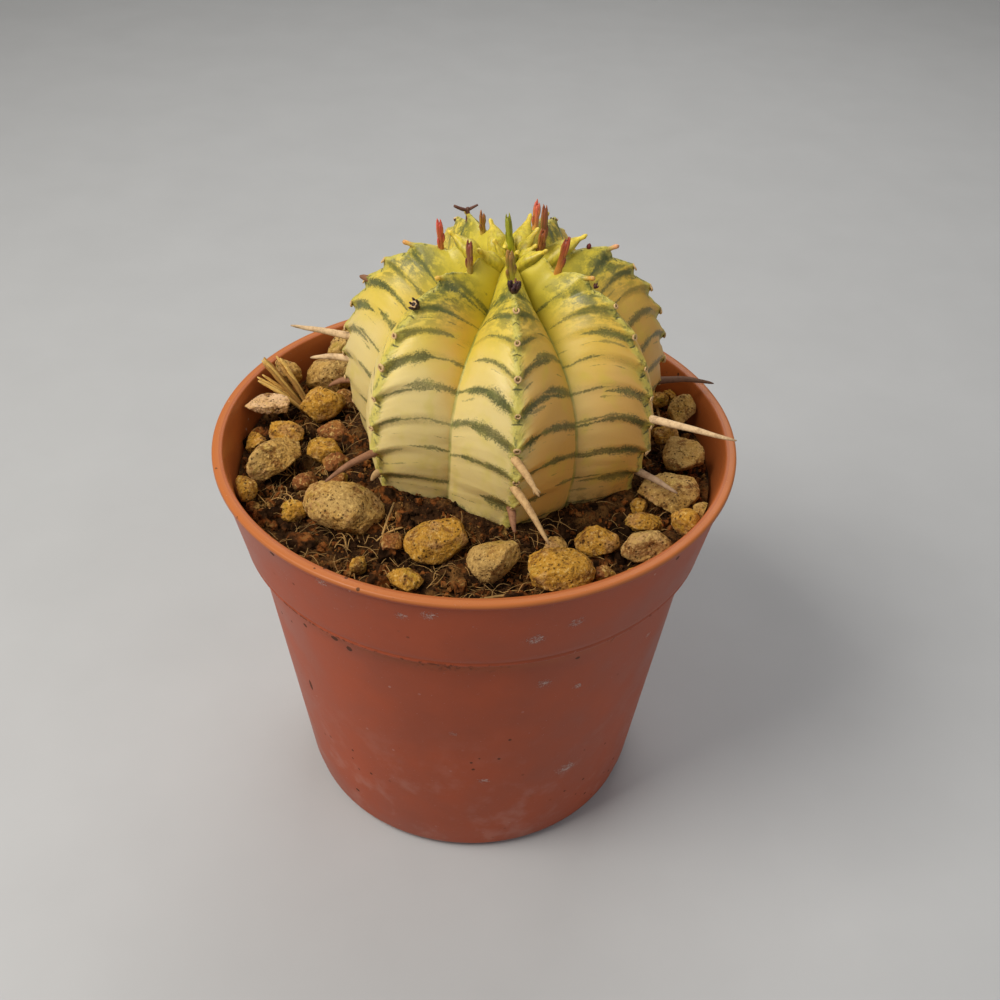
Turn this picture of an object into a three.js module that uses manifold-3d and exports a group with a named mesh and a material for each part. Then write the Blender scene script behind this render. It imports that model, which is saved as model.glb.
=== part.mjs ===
// Potted variegated melon spurge: a squat seven-ribbed spurge with its dry flower stalks,
// in a small tapered pot whose soil is covered with gravel. Millimetres, Z up, origin under the pot.
import * as THREE from 'three';
import { mergeVertices } from 'three/addons/utils/BufferGeometryUtils.js';
import Module from 'manifold-3d';

const wasm = await Module();
wasm.setup();

// Pot
const potHeight = 50;
const rimRadius = 30;
const rimWidth = 1.25;
const rimLipHeight = 0.8;
const rimLipDepth = 0.45;
const collarFoot = 39;
const collarFootRadius = 27.5;
const collarStep = 1.1;
const collarBead = 0.12;
const footRadius = 21.4;
const footRounding = 1.6;
const wallThickness = 1.0;
const footRingHeight = 1.5;
const footRingWidth = 2.4;
const floorThickness = 1.0;
const drainHoles = 6;
const drainRadius = 2.4;
const drainCircle = 12.5;
const potSides = 46;

// Spurge body
const plantX = 3.2;
const plantY = 3.0;
const waistHeight = 54;
const ridgeRadius = 18.65;
const ridgeTop = 72.6;
const ridgePower = 2.35;
const ridgeTaper = [0.128, 1.36];
const grooveRadius = 15.3;
const grooveTop = 67;
const groovePower = 2.2;
const grooveTaper = [0.011, 2.2];
const crownHeight = 70.7;
const crownDishRadius = 12;
const crownMeetRadius = 6;
const bodyBase = 43.6;
const ridgeArc = 41;
const flankLag = 3.2;
const flankArch = 0.14;
const flankPower = 1.3;
const tubercleHeight = 0.42;
const youngTubercleHeight = 0.95;
const tuberclesPerRib = 9;
const youngTubercles = 2;
const ringsPerTubercle = 3;
const tubercleUndercut = 0.3;
const flankLines = [0, 0.17, 0.45, 0.75, 1];
const rootRings = [[40.5, 0.9], [35, 0.6], [29, 0.28]];
const rootTip = 25;

// Each rib: its bearing, how far its foot swings, where its oldest leaf sits along the
// ridge from the crown, and how the tubercles close up towards the soil
const ribs = {
  front: { bearing: -85.5, swing: -4.5, firstScar: 8.3, closing: 1.08 },
  rightFront: { bearing: -33, swing: 1.5, firstScar: 9.6, closing: 0.93 },
  right: { bearing: 13.2, swing: 0, firstScar: 11.2, closing: 0.95 },
  rightBack: { bearing: 66, swing: 0, firstScar: 9.4, closing: 1 },
  back: { bearing: 118, swing: 0, firstScar: 9.8, closing: 1 },
  left: { bearing: 171, swing: 0, firstScar: 10.7, closing: 0.96 },
  leftFront: { bearing: 222.7, swing: -4.5, firstScar: 9.3, closing: 0.95 },
};

// Soil
const clearance = 0.3;
const soilLevel = 45.3;
const soilRoughness = 0.35;
const soilSettling = 0.1;
const soilFloorGap = 0.3;
const soilCollar = 0.65;
const soilMound = 1.4;
const soilMoundReach = 5;
const soilBank = { height: 1.6, bearing: 232, width: 38 };
const soilMeetsTubercles = [7.2, 8.4];
const soilRings = [1, 0.68, 0.34, 0];

// Living flower stalks of the crown: rib, arc from the crown, height, outward lean, side lean
const liveStalks = [
  ['front', 5.4, 3.3, 0.3, -0.4],
  ['leftFront', 5.5, 3.3, 0.1, 0],
  ['left', 7.4, 3.1, 0.4, -0.2],
  ['rightFront', 6.0, 4.0, 1.1, 0.1],
  ['right', 3.7, 5.3, 0.1, 0.3],
  ['right', 3.3, 3.1, 0.2, -0.7],
  ['back', 6.2, 2.1, 0.3, 0.1],
  ['rightBack', 6.8, 2.9, 0.9, 0.2],
  ['right', 0.4, 4.8, -0.6, 0.1],
];
const liveStalkRadius = 0.47;

// Dry flower stalks of the ribs: rib, arc from the crown, reach sideways, outward and up
const dryStalks = [
  ['front', 27.3, 2.1, 4.2, -1.2],
  ['front', 31, 3.2, 6.0, -2.4],
  ['front', 34.3, 0.3, 2.6, -1.0],
  ['leftFront', 30.9, 0, 6.8, -0.7],
  ['leftFront', 34, 0.1, 1.5, -0.6],
  ['left', 17.4, 0, 1.2, 0.3],
  ['left', 25.7, 0, 6.9, 0.5],
  ['left', 28.8, 0, 4.6, -0.5],
  ['left', 31.8, 0.2, 2.8, -1.1],
  ['rightFront', 27, 0, 10.2, 1.3],
  ['rightFront', 34.6, -1.3, 5.9, 0.2],
  ['right', 31.4, 0, 7.4, -1.1],
  ['back', 21.5, 0.2, 1.3, 0.3],
  ['back', 29.5, 0.8, 5.2, 0.4],
  ['rightBack', 26.8, -0.6, 4.4, -0.3],
  ['rightBack', 33.4, 0.7, 3.0, -0.6],
];
const dryStalkRadius = 0.5;
const dryStalkTipRadius = 0.2;
const stalkSides = 5;
const rootedDepth = 0.9;

// Dry forked stalk of the back rib, as sideways, outward and up from its foot on the ridge
const forkArc = 10.3;
const forkStem = { foot: [0, 0, -1], top: [0, 0.1, 1.4], radii: [0.38, 0.3] };
const forkArms = { foot: [0, 0.1, 1.2], tips: [[1.6, 0.2, 1.9], [-1.35, 0.2, 1.5]], radii: [0.28, 0.2] };

// Small finger leaf at the tip of the oldest leafy tubercle of each rib: rise in degrees
const leafLength = 1.8;
const leafRise = 14;
const leafRadius = 0.34;

// Keeled young tubercles round the crown, each a wedge that leans out and ends in its leaf:
// bearing, reach of its foot, reach and height of its tip, half width
const crownWedges = [
  [13.2, 4.4, 8.6, 72.4, 1.25],
  [-33, 1.5, 4.8, 72.7, 1.15],
  [222.7, 1.5, 4.5, 72.8, 1.15],
  [171, 3.2, 6.7, 72.8, 1.3],
  [118, 1.7, 4.7, 72.9, 1.25],
  [66, 2.2, 5.6, 73.2, 1.25],
  [40, 1.3, 4.1, 72.7, 0.85],
  [4, 1.2, 3.0, 71.9, 0.75],
  [165, 0.4, 1.8, 72.3, 0.65],
  [235, -0.1, 0.9, 72.2, 0.55],
  [-60, 0.6, 1.9, 72.0, 0.6],
  [92, 0.6, 2.2, 72.6, 0.7],
];
const wedgeLeafRadius = 0.27;
// Along a wedge: shares of its reach and of its rise, width and depth in half widths
const wedgeStops = [
  [-0.03, -0.75, 1, 0.85],
  [0.28, 0.05, 1.06, 0.85],
  [0.52, 0.36, 0.78, 0.62],
  [0.76, 0.7, 0.36, 0.32],
];
// Across a wedge: sideways and towards its keel, in half widths and depths
const wedgeOutline = [[0, 1.15], [0.95, 0.2], [0.6, -0.75], [-0.6, -0.75], [-0.95, 0.2]];

// Gravel: centre, half sizes and turn of each stone, larger ones first
const gravel = [
  { at: [-13.6, -12.2, 46.9], half: [4.7, 3.2, 2.4], turn: -32 },
  { at: [-3.6, -16.6, 47.0], half: [3.1, 2.6, 2.1], turn: 20 },
  { at: [2.6, -19.4, 46.9], half: [3.3, 2.4, 2.1], turn: -14 },
  { at: [9.2, -21.4, 47.1], half: [3.5, 2.7, 2.3], turn: 8 },
  { at: [-22.6, -3.2, 47.4], half: [4.2, 2.1, 1.9], turn: 62 },
  { at: [21.9, -6.6, 46.9], half: [3.3, 2.8, 2.0], turn: -12 },
  { at: [24.2, -0.6, 47.6], half: [2.6, 2.9, 2.1], turn: 15 },
  { at: [-19.2, 14.8, 47.6], half: [3.2, 2.6, 2.3], turn: 12 },
  { at: [-17.2, 19.6, 49.0], half: [2.9, 2.1, 2.0], turn: 24 },
  { at: [-19.2, 7.6, 47.6], half: [2.7, 2.7, 2.1], turn: 35 },
  { at: [-25.0, 5.6, 48.5], half: [2.9, 1.8, 1.1], turn: 10 },
  { at: [-24.0, 13.2, 48.7], half: [2.1, 1.6, 1.5], turn: -20 },
  { at: [-22.7, 2.2, 46.9], half: [2.1, 1.6, 1.3], turn: 5 },
  { at: [-17.6, -1.0, 46.9], half: [2.2, 2.1, 1.7], turn: 40 },
  { at: [-16.9, 3.6, 46.4], half: [1.7, 1.9, 1.4], turn: 70 },
  { at: [-19.0, -6.6, 46.4], half: [1.5, 1.4, 1.2], turn: 0 },
  { at: [-19.8, -11.6, 46.1], half: [1.4, 1.3, 1.1], turn: 15 },
  { at: [-25.6, -7.8, 46.5], half: [1.3, 2.0, 1.3], turn: 8 },
  { at: [-8.4, -17.0, 46.6], half: [1.2, 1.4, 1.2], turn: 30 },
  { at: [13.6, -15.8, 46.8], half: [2.4, 2.0, 1.7], turn: -18 },
  { at: [9.1, -16.4, 46.0], half: [1.3, 1.5, 1.2], turn: 50 },
  { at: [18.8, -16.4, 47.0], half: [2.7, 1.9, 1.6], turn: 14 },
  { at: [23.6, -12.4, 47.1], half: [1.7, 1.8, 1.5], turn: 60 },
  { at: [18.9, -11.6, 46.2], half: [2.3, 1.5, 1.2], turn: -6 },
  { at: [22.8, 4.6, 46.8], half: [1.6, 1.5, 1.3], turn: 25 },
  { at: [25.2, 8.6, 47.9], half: [2.3, 1.8, 1.6], turn: 74 },
  { at: [22.4, 12.2, 46.7], half: [1.3, 1.2, 1.0], turn: 12 },
  { at: [14.2, -20.6, 46.2], half: [1.2, 1.1, 0.9], turn: 33 },
  { at: [17.4, -20.6, 46.1], half: [1.1, 0.9, 0.8], turn: 80 },
  { at: [-6.6, -22.0, 45.9], half: [1.9, 1.5, 1.1], turn: -25 },
  { at: [19.6, 17.6, 47.0], half: [2.3, 2.0, 1.7], turn: 45 },
  { at: [14.8, 21.9, 47.1], half: [2.4, 1.9, 1.7], turn: -30 },
  { at: [9.4, 24.6, 46.9], half: [2.2, 1.7, 1.5], turn: -14 },
  { at: [4.0, 25.8, 47.2], half: [2.2, 1.4, 1.6], turn: 4 },
  { at: [-1.6, 25.4, 46.9], half: [2.2, 1.6, 1.5], turn: -8 },
  { at: [-7.4, 24.8, 47.3], half: [2.3, 1.7, 1.6], turn: 16 },
  { at: [-12.4, 21.6, 47.1], half: [2.2, 1.9, 1.7], turn: 50 },
  { at: [-14.2, 16.8, 46.4], half: [1.8, 1.7, 1.3], turn: 22 },
  { at: [-15.4, -6.6, 46.9], half: [1.3, 1.0, 0.9], turn: 40 },
  { at: [-16.0, -3.2, 46.8], half: [1.5, 1.4, 1.1], turn: 10 },
  { at: [-26.0, 1.6, 46.0], half: [1.2, 2.1, 1.1], turn: 4 },
  { at: [-16.6, 10.4, 46.3], half: [1.6, 1.3, 1.3], turn: 65 },
  { at: [24.2, 13.4, 46.6], half: [1.3, 1.3, 1.1], turn: 20 },
  { at: [-10.0, 19.0, 46.0], half: [1.2, 1.1, 0.9], turn: 55 },
  { at: [18.6, -8.6, 45.9], half: [1.1, 1.3, 0.9], turn: 5 },
  { at: [25.8, -9.4, 46.3], half: [1.2, 1.0, 1.0], turn: 35 },
  { at: [-11.6, -19.6, 45.7], half: [1.2, 1.0, 0.8], turn: 75 },
];
const largeStone = 3.4;
const stoneCorner = 1.14;
const stoneCuts = 9;
const stoneFlat = [0.66, 0.98];
const stoneSeed = 101;
const wallClearance = 0.35;
const plantClearance = 0.5;

// Dry broken stem standing in the gravel: foot and tip of each of its three blades
const stemBlades = [
  { foot: [-21.8, 9.4, 46.3], tip: [-26.4, 10.0, 52.2] },
  { foot: [-21.4, 9.9, 46.6], tip: [-24.8, 11.2, 52.1] },
  { foot: [-21.6, 9.0, 46.0], tip: [-26.6, 8.2, 50.9] },
];
const stemHalfWidth = 0.9;
const stemHalfThickness = 0.38;

const degree = Math.PI / 180;
const clamp01 = (x) => Math.min(1, Math.max(0, x));
const mix = (a, b, f) => a + (b - a) * f;

function smooth(from, to, x) {
  const f = clamp01((x - from) / (to - from));
  return f * f * (3 - 2 * f);
}

// Repeatable random numbers between 0 and 1
function seededRandom(seed) {
  let state = seed >>> 0;
  return () => {
    state = (state + 0x6d2b79f5) >>> 0;
    let mixed = Math.imul(state ^ (state >>> 15), state | 1);
    mixed ^= mixed + Math.imul(mixed ^ (mixed >>> 7), mixed | 61);
    return ((mixed ^ (mixed >>> 14)) >>> 0) / 4294967296;
  };
}

// Solids
function solidOf(geometry) {
  const bare = geometry.clone();
  bare.deleteAttribute('normal');
  bare.deleteAttribute('uv');
  const merged = mergeVertices(bare, 1e-3);
  return new wasm.Manifold(new wasm.Mesh({
    numProp: 3,
    vertProperties: new Float32Array(merged.attributes.position.array),
    triVerts: new Uint32Array(merged.index.array),
  }));
}

function geometryOf(solid) {
  const mesh = solid.getMesh();
  const geometry = new THREE.BufferGeometry();
  geometry.setAttribute('position', new THREE.BufferAttribute(mesh.vertProperties, 3));
  geometry.setIndex(new THREE.BufferAttribute(mesh.triVerts, 1));
  geometry.computeVertexNormals();
  return geometry;
}

// Skin through a stack of equal rings, drawn to a point at each end
function loft(rings, startPoint, endPoint) {
  const sides = rings[0].length;
  const points = [startPoint, ...rings.flat(), endPoint];
  const last = points.length - 1;
  const faces = [];
  for (let i = 0; i < sides; i++) {
    const next = (i + 1) % sides;
    faces.push(0, 1 + next, 1 + i);
    for (let r = 0; r < rings.length - 1; r++) {
      const low = 1 + r * sides;
      const high = low + sides;
      faces.push(low + i, low + next, high + next);
      faces.push(low + i, high + next, high + i);
    }
    const top = 1 + (rings.length - 1) * sides;
    faces.push(top + i, top + next, last);
  }
  const geometry = new THREE.BufferGeometry();
  geometry.setAttribute('position', new THREE.Float32BufferAttribute(points.flat(), 3));
  geometry.setIndex(faces);
  return geometry;
}

function largestBody(solid) {
  return solid.decompose().reduce((best, body) => (body.volume() > best.volume() ? body : best));
}

// Pot profile, shared by the wall and the soil inside it
function outerPotRadius(z) {
  if (z >= collarFoot) {
    const belowLip = rimRadius - rimLipDepth;
    return mix(collarFootRadius, belowLip, (z - collarFoot) / (potHeight - rimLipHeight - collarFoot));
  }
  return mix(footRadius, collarFootRadius - collarStep, z / collarFoot);
}

function innerPotRadius(z) {
  const atStep = collarFoot - 0.6;
  if (z >= collarFoot) return outerPotRadius(z) - wallThickness;
  if (z <= atStep) return outerPotRadius(z) - wallThickness;
  const below = outerPotRadius(atStep) - wallThickness;
  const above = outerPotRadius(collarFoot) - wallThickness;
  return mix(below, above, (z - atStep) / (collarFoot - atStep));
}

function makePot() {
  const floorTop = footRingHeight + floorThickness;
  const ringInner = footRadius - footRounding - footRingWidth;
  const profile = [[0, footRingHeight], [ringInner - 0.6, footRingHeight], [ringInner, 0]];
  for (const turn of [0, 45, 90]) {
    profile.push([
      footRadius - footRounding + footRounding * Math.sin(turn * degree),
      footRounding - footRounding * Math.cos(turn * degree),
    ]);
  }
  profile.push([outerPotRadius(collarFoot - 0.3), collarFoot - 0.3]);
  profile.push([collarFootRadius + collarBead, collarFoot]);
  profile.push([collarFootRadius + collarBead, collarFoot + 0.5]);
  profile.push([outerPotRadius(collarFoot + 0.8), collarFoot + 0.8]);
  profile.push([rimRadius - rimLipDepth, potHeight - rimLipHeight]);
  profile.push([rimRadius, potHeight - rimLipHeight + 0.25]);
  profile.push([rimRadius, potHeight - 0.2], [rimRadius - 0.2, potHeight]);
  profile.push([rimRadius - rimWidth, potHeight]);
  profile.push([innerPotRadius(potHeight - 1.2), potHeight - 1.2]);
  profile.push([innerPotRadius(collarFoot), collarFoot]);
  profile.push([innerPotRadius(collarFoot - 0.6), collarFoot - 0.6]);
  profile.push([innerPotRadius(floorTop + 1.2), floorTop + 1.2]);
  profile.push([innerPotRadius(floorTop) - 0.9, floorTop], [0, floorTop]);
  const shell = new THREE.LatheGeometry(profile.map(([r, z]) => new THREE.Vector2(r, z)), potSides);
  shell.rotateX(Math.PI / 2);
  let pot = solidOf(shell);
  for (let i = 0; i < drainHoles; i++) {
    const turn = (i / drainHoles) * 2 * Math.PI;
    const hole = new THREE.CylinderGeometry(drainRadius, drainRadius, 6, 12);
    hole.rotateX(Math.PI / 2);
    hole.translate(drainCircle * Math.cos(turn), drainCircle * Math.sin(turn), 2);
    pot = pot.subtract(solidOf(hole));
  }
  return pot;
}

// Spurge: the outline of a ridge or a groove as radius and height along its arc from the crown
function bodyCurve(radius, top, power, taper, crownShift) {
  const samples = [];
  const upperSteps = 160;
  for (let i = 0; i <= upperSteps; i++) {
    const turn = (1 - i / upperSteps) * 90 * degree;
    const r = radius * Math.cos(turn) ** (2 / power);
    const z = waistHeight + (top - waistHeight) * Math.sin(turn) ** (2 / power);
    samples.push([r, z + crownShift(r)]);
  }
  samples[0][0] = 0;
  const lowerSteps = 40;
  for (let i = 1; i <= lowerSteps; i++) {
    const z = mix(waistHeight, bodyBase, i / lowerSteps);
    samples.push([radius - taper[0] * (waistHeight - z) ** taper[1], z]);
  }
  const arcs = [0];
  for (let i = 1; i < samples.length; i++) {
    const step = Math.hypot(samples[i][0] - samples[i - 1][0], samples[i][1] - samples[i - 1][1]);
    arcs.push(arcs[i - 1] + step);
  }
  return { samples, arcs, length: arcs[arcs.length - 1] };
}

function alongCurve(curve, share) {
  const arc = clamp01(share) * curve.length;
  let i = 1;
  while (i < curve.arcs.length - 1 && curve.arcs[i] < arc) i++;
  const f = (arc - curve.arcs[i - 1]) / (curve.arcs[i] - curve.arcs[i - 1]);
  const [r0, z0] = curve.samples[i - 1];
  const [r1, z1] = curve.samples[i];
  const step = Math.hypot(r1 - r0, z1 - z0);
  return { r: mix(r0, r1, f), z: mix(z0, z1, f), outward: (z0 - z1) / step, up: (r1 - r0) / step };
}

function dish(r, reach) {
  return r < reach ? (1 - (r / reach) ** 2) ** 2 : 0;
}

const ridgeCurve = bodyCurve(ridgeRadius, ridgeTop, ridgePower, ridgeTaper,
  (r) => (crownHeight - ridgeTop) * dish(r, crownDishRadius));
const grooveCurve = bodyCurve(grooveRadius, grooveTop, groovePower, grooveTaper,
  (r) => (crownHeight - grooveTop) * dish(r, crownMeetRadius));
const ribList = Object.values(ribs);

// Arc from the crown of a place counted in tubercles: 0 at the oldest leaf, growing downwards
function tubercleArc(rib, count) {
  if (count < 0) return rib.firstScar * (1 + count / youngTubercles);
  return rib.firstScar + (ridgeArc - rib.firstScar) * (count / tuberclesPerRib) ** rib.closing;
}

function tubercleProfile(count) {
  const q = count - Math.floor(count + 1e-6);
  if (q < tubercleUndercut) return mix(1, -0.55, Math.max(q, 0) / tubercleUndercut);
  return mix(-0.55, 1, (q - tubercleUndercut) / (1 - tubercleUndercut));
}

function ribBearing(rib, z) {
  const low = Math.max(0, (waistHeight - z) / (waistHeight - bodyBase - 1.5));
  return rib.bearing + rib.swing * low * low;
}

// A point of the skin: rib, side (-1 or 1), fraction of the way to the groove, tubercle count
function skinPoint(index, side, toGroove, count) {
  const rib = ribList[index];
  const neighbourIndex = (index + side + ribList.length) % ribList.length;
  const neighbour = ribList[neighbourIndex];
  const ownArc = tubercleArc(rib, count);
  const sharedArc = (ownArc + tubercleArc(neighbour, count)) / 2;
  const level = mix(ownArc, sharedArc, toGroove) / ridgeArc;
  const lag = (flankLag / ridgeArc) * Math.sin(Math.PI * level) * smooth(0.12, 0.5, level);
  const arch = 1 - (1 - toGroove) ** 3 + flankArch * Math.sin(Math.PI * toGroove);
  const share = level - lag * arch;
  const ridge = alongCurve(ridgeCurve, share);
  const groove = alongCurve(grooveCurve, share);
  const towardsRidge = 1 - toGroove ** flankPower;
  const r = mix(groove.r, ridge.r, towardsRidge);
  const z = mix(groove.z, ridge.z, towardsRidge);
  const young = 1 - smooth(-1.2, 1, count);
  const height = mix(tubercleHeight, youngTubercleHeight, young);
  const fade = smooth(0.5, 3, share * ridgeArc) * smooth(44.5, 47, z);
  const spread = 0.35 * (1 - toGroove) + 0.65 * Math.exp(-((toGroove / 0.18) ** 2));
  const bump = tubercleProfile(count) * height * fade * spread;
  let away = ribBearing(neighbour, z) - ribBearing(rib, z);
  away -= 360 * Math.round((away - side * 50) / 360);
  const bearing = (ribBearing(rib, z) + (away / 2) * toGroove) * degree;
  const reach = Math.max(0, r + bump * ridge.outward);
  return [
    plantX + reach * Math.cos(bearing),
    plantY + reach * Math.sin(bearing),
    z + bump * ridge.up,
  ];
}

function skinRing(count) {
  const ring = [];
  const lines = flankLines.length - 1;
  for (let index = 0; index < ribList.length; index++) {
    for (let k = 0; k < lines; k++) ring.push(skinPoint(index, 1, flankLines[k], count));
    const next = (index + 1) % ribList.length;
    for (let k = lines; k > 0; k--) ring.push(skinPoint(next, -1, flankLines[k], count));
  }
  return ring;
}

// The ring drawn in towards the axis of the plant, let out by a clearance, at a new height
function drawnIn(ring, scale, extra, z) {
  return ring.map(([x, y]) => {
    const dx = x - plantX;
    const dy = y - plantY;
    const grow = scale + extra / Math.hypot(dx, dy);
    return [plantX + dx * grow, plantY + dy * grow, z];
  });
}

// A tapered stalk through its points, with a radius at each
function stalk(points, radii, sides) {
  const path = points.map((p) => new THREE.Vector3(...p));
  const rings = path.map((point, i) => {
    const before = path[Math.max(0, i - 1)];
    const after = path[Math.min(path.length - 1, i + 1)];
    const along = after.clone().sub(before).normalize();
    const helper = Math.abs(along.z) > 0.9 ? new THREE.Vector3(1, 0, 0) : new THREE.Vector3(0, 0, 1);
    const across = helper.clone().cross(along).normalize();
    const rise = along.clone().cross(across);
    const ring = [];
    for (let k = 0; k < sides; k++) {
      const turn = (k / sides) * 2 * Math.PI;
      const spoke = across.clone().multiplyScalar(Math.cos(turn) * radii[i]);
      spoke.addScaledVector(rise, Math.sin(turn) * radii[i]);
      ring.push(point.clone().add(spoke).toArray());
    }
    return ring;
  });
  return solidOf(loft(rings, points[0], points[points.length - 1]));
}

function ridgeFrame(name, arc) {
  const rib = ribs[name];
  const ridge = alongCurve(ridgeCurve, arc / ridgeArc);
  const bearing = ribBearing(rib, ridge.z) * degree;
  const outward = [Math.cos(bearing), Math.sin(bearing), 0];
  return {
    foot: [plantX + ridge.r * outward[0], plantY + ridge.r * outward[1], ridge.z],
    outward,
    sideways: [-outward[1], outward[0], 0],
  };
}

function offset(frame, sideways, outward, up) {
  return frame.foot.map((value, axis) => value + sideways * frame.sideways[axis]
    + outward * frame.outward[axis] + (axis === 2 ? up : 0));
}

function makeLiveStalk([name, arc, height, lean, side]) {
  const frame = ridgeFrame(name, arc);
  const points = [
    offset(frame, 0, 0, -1.5 * rootedDepth),
    offset(frame, side * 0.3, lean * 0.3, height * 0.4),
    offset(frame, side * 0.8, lean * 0.8, height * 0.82),
    offset(frame, side, lean, height),
  ];
  const r = liveStalkRadius;
  return stalk(points, [r * 1.1, r, r * 1.1, r * 0.8], stalkSides);
}

function makeDryStalk([name, arc, sideways, outward, up]) {
  const frame = ridgeFrame(name, arc);
  const length = Math.hypot(sideways, outward, up);
  const inside = rootedDepth / length;
  const points = [
    offset(frame, -sideways * inside, -rootedDepth, -up * inside),
    offset(frame, sideways * 0.45, outward * 0.5, up * 0.3 + length * 0.03),
    offset(frame, sideways, outward, up),
  ];
  return stalk(points, [dryStalkRadius, mix(dryStalkRadius, dryStalkTipRadius, 0.35),
    dryStalkTipRadius], stalkSides);
}

function makeLeaf(name) {
  const frame = ridgeFrame(name, tubercleArc(ribs[name], 0) - 0.5);
  const out = Math.cos(leafRise * degree);
  const up = Math.sin(leafRise * degree);
  const points = [
    offset(frame, 0, -rootedDepth * out, tubercleHeight - 0.3 - rootedDepth * up),
    offset(frame, 0, leafLength * 0.5 * out, tubercleHeight + leafLength * 0.5 * up),
    offset(frame, 0, leafLength * out, tubercleHeight + leafLength * up),
  ];
  return stalk(points, [leafRadius * 1.6, leafRadius, leafRadius * 0.8], stalkSides);
}

function makeWedge([bearing, start, tip, top, halfWidth]) {
  const outX = Math.cos(bearing * degree);
  const outY = Math.sin(bearing * degree);
  const stops = wedgeStops.map(([reach, rise, width, depth]) => ({
    reach: mix(start, tip, reach),
    z: mix(crownHeight, top, rise),
    width: width * halfWidth,
    depth: depth * halfWidth,
  }));
  stops.push({ reach: tip, z: top, width: wedgeLeafRadius, depth: wedgeLeafRadius });
  const place = (reach, aside, z) => [
    plantX + reach * outX - aside * outY,
    plantY + reach * outY + aside * outX,
    z,
  ];
  const rings = stops.map((stop, i) => {
    const before = stops[Math.max(0, i - 1)];
    const after = stops[Math.min(stops.length - 1, i + 1)];
    const length = Math.hypot(after.reach - before.reach, after.z - before.z);
    const keelOut = (after.z - before.z) / length;
    const keelUp = (before.reach - after.reach) / length;
    return wedgeOutline.map(([aside, towardsKeel]) => place(
      stop.reach + towardsKeel * stop.depth * keelOut, aside * stop.width,
      stop.z + towardsKeel * stop.depth * keelUp));
  });
  const [first] = stops;
  return solidOf(loft(rings, place(first.reach, 0, first.z), place(tip, 0, top)));
}

function makeFork() {
  const frame = ridgeFrame('back', forkArc);
  const limb = (foot, tip, radii) => stalk([offset(frame, ...foot), offset(frame, ...tip)], radii, stalkSides);
  return forkArms.tips.reduce((fork, tip) => fork.add(limb(forkArms.foot, tip, forkArms.radii)),
    limb(forkStem.foot, forkStem.top, forkStem.radii));
}

const baseRing = skinRing(tuberclesPerRib);

function makePlant() {
  const rings = rootRings.map(([z, scale]) => drawnIn(baseRing, scale, 0, z)).reverse();
  for (let row = tuberclesPerRib * ringsPerTubercle; row > -youngTubercles * ringsPerTubercle; row--) {
    rings.push(skinRing(row / ringsPerTubercle));
  }
  const apex = [plantX, plantY, crownHeight];
  let plant = solidOf(loft(rings, [plantX, plantY, rootTip], apex));
  for (const name of Object.keys(ribs)) plant = plant.add(makeLeaf(name));
  for (const wedge of crownWedges) plant = plant.add(makeWedge(wedge));
  for (const row of liveStalks) plant = plant.add(makeLiveStalk(row));
  for (const row of dryStalks) plant = plant.add(makeDryStalk(row));
  return plant.add(makeFork());
}

// Gravel
function plantReach(x, y, z) {
  const low = Math.max(0, waistHeight - z);
  const ridge = ridgeRadius - ridgeTaper[0] * low ** ridgeTaper[1];
  const groove = grooveRadius - grooveTaper[0] * low ** grooveTaper[1];
  const bearing = Math.atan2(y - plantY, x - plantX) / degree;
  let nearest = 360;
  for (const rib of ribList) {
    const away = bearing - ribBearing(rib, z);
    nearest = Math.min(nearest, Math.abs(away - 360 * Math.round(away / 360)));
  }
  const towardsRidge = 1 - clamp01(nearest / 25) ** flankPower;
  return mix(groove, ridge, towardsRidge) + tubercleHeight * towardsRidge;
}

// A stone: a ball cut by random planes, stretched and turned, held off the wall and the plant
function makeStone({ at, half, turn }, seed, swell) {
  const random = seededRandom(seed);
  const cuts = [];
  for (let i = 0; i < stoneCuts; i++) {
    const up = 2 * random() - 1;
    const around = 2 * Math.PI * random();
    const flat = Math.sqrt(1 - up * up);
    const normal = new THREE.Vector3(flat * Math.cos(around), flat * Math.sin(around), up);
    cuts.push({ normal, depth: mix(stoneFlat[0], stoneFlat[1], random()) });
  }
  const tilt = new THREE.Euler((random() - 0.5) * 0.4, (random() - 0.5) * 0.4, turn * degree, 'ZYX');
  const ball = new THREE.IcosahedronGeometry(1, half[0] > largeStone ? 2 : 1);
  ball.deleteAttribute('normal');
  ball.deleteAttribute('uv');
  const stone = mergeVertices(ball, 1e-3);
  const place = stone.attributes.position;
  for (let i = 0; i < place.count; i++) {
    const way = new THREE.Vector3().fromBufferAttribute(place, i).normalize();
    let reach = stoneCorner;
    for (const { normal, depth } of cuts) {
      const facing = way.dot(normal);
      if (facing > 0) reach = Math.min(reach, depth / facing);
    }
    const point = way.clone().multiplyScalar(reach);
    point.multiply(new THREE.Vector3(...half)).addScaledVector(way, swell);
    point.applyEuler(tilt).add(new THREE.Vector3(...at));
    const fromAxis = Math.hypot(point.x, point.y);
    const wall = innerPotRadius(Math.min(point.z, potHeight)) - wallClearance;
    if (point.z < potHeight + 1 && fromAxis > wall) {
      point.x *= wall / fromAxis;
      point.y *= wall / fromAxis;
    }
    const dx = point.x - plantX;
    const dy = point.y - plantY;
    const fromPlant = Math.hypot(dx, dy);
    const skin = plantReach(point.x, point.y, point.z) + plantClearance;
    if (fromPlant < skin) {
      point.x = plantX + (dx * skin) / fromPlant;
      point.y = plantY + (dy * skin) / fromPlant;
    }
    place.setXYZ(i, point.x, point.y, point.z);
  }
  return solidOf(stone);
}

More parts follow.
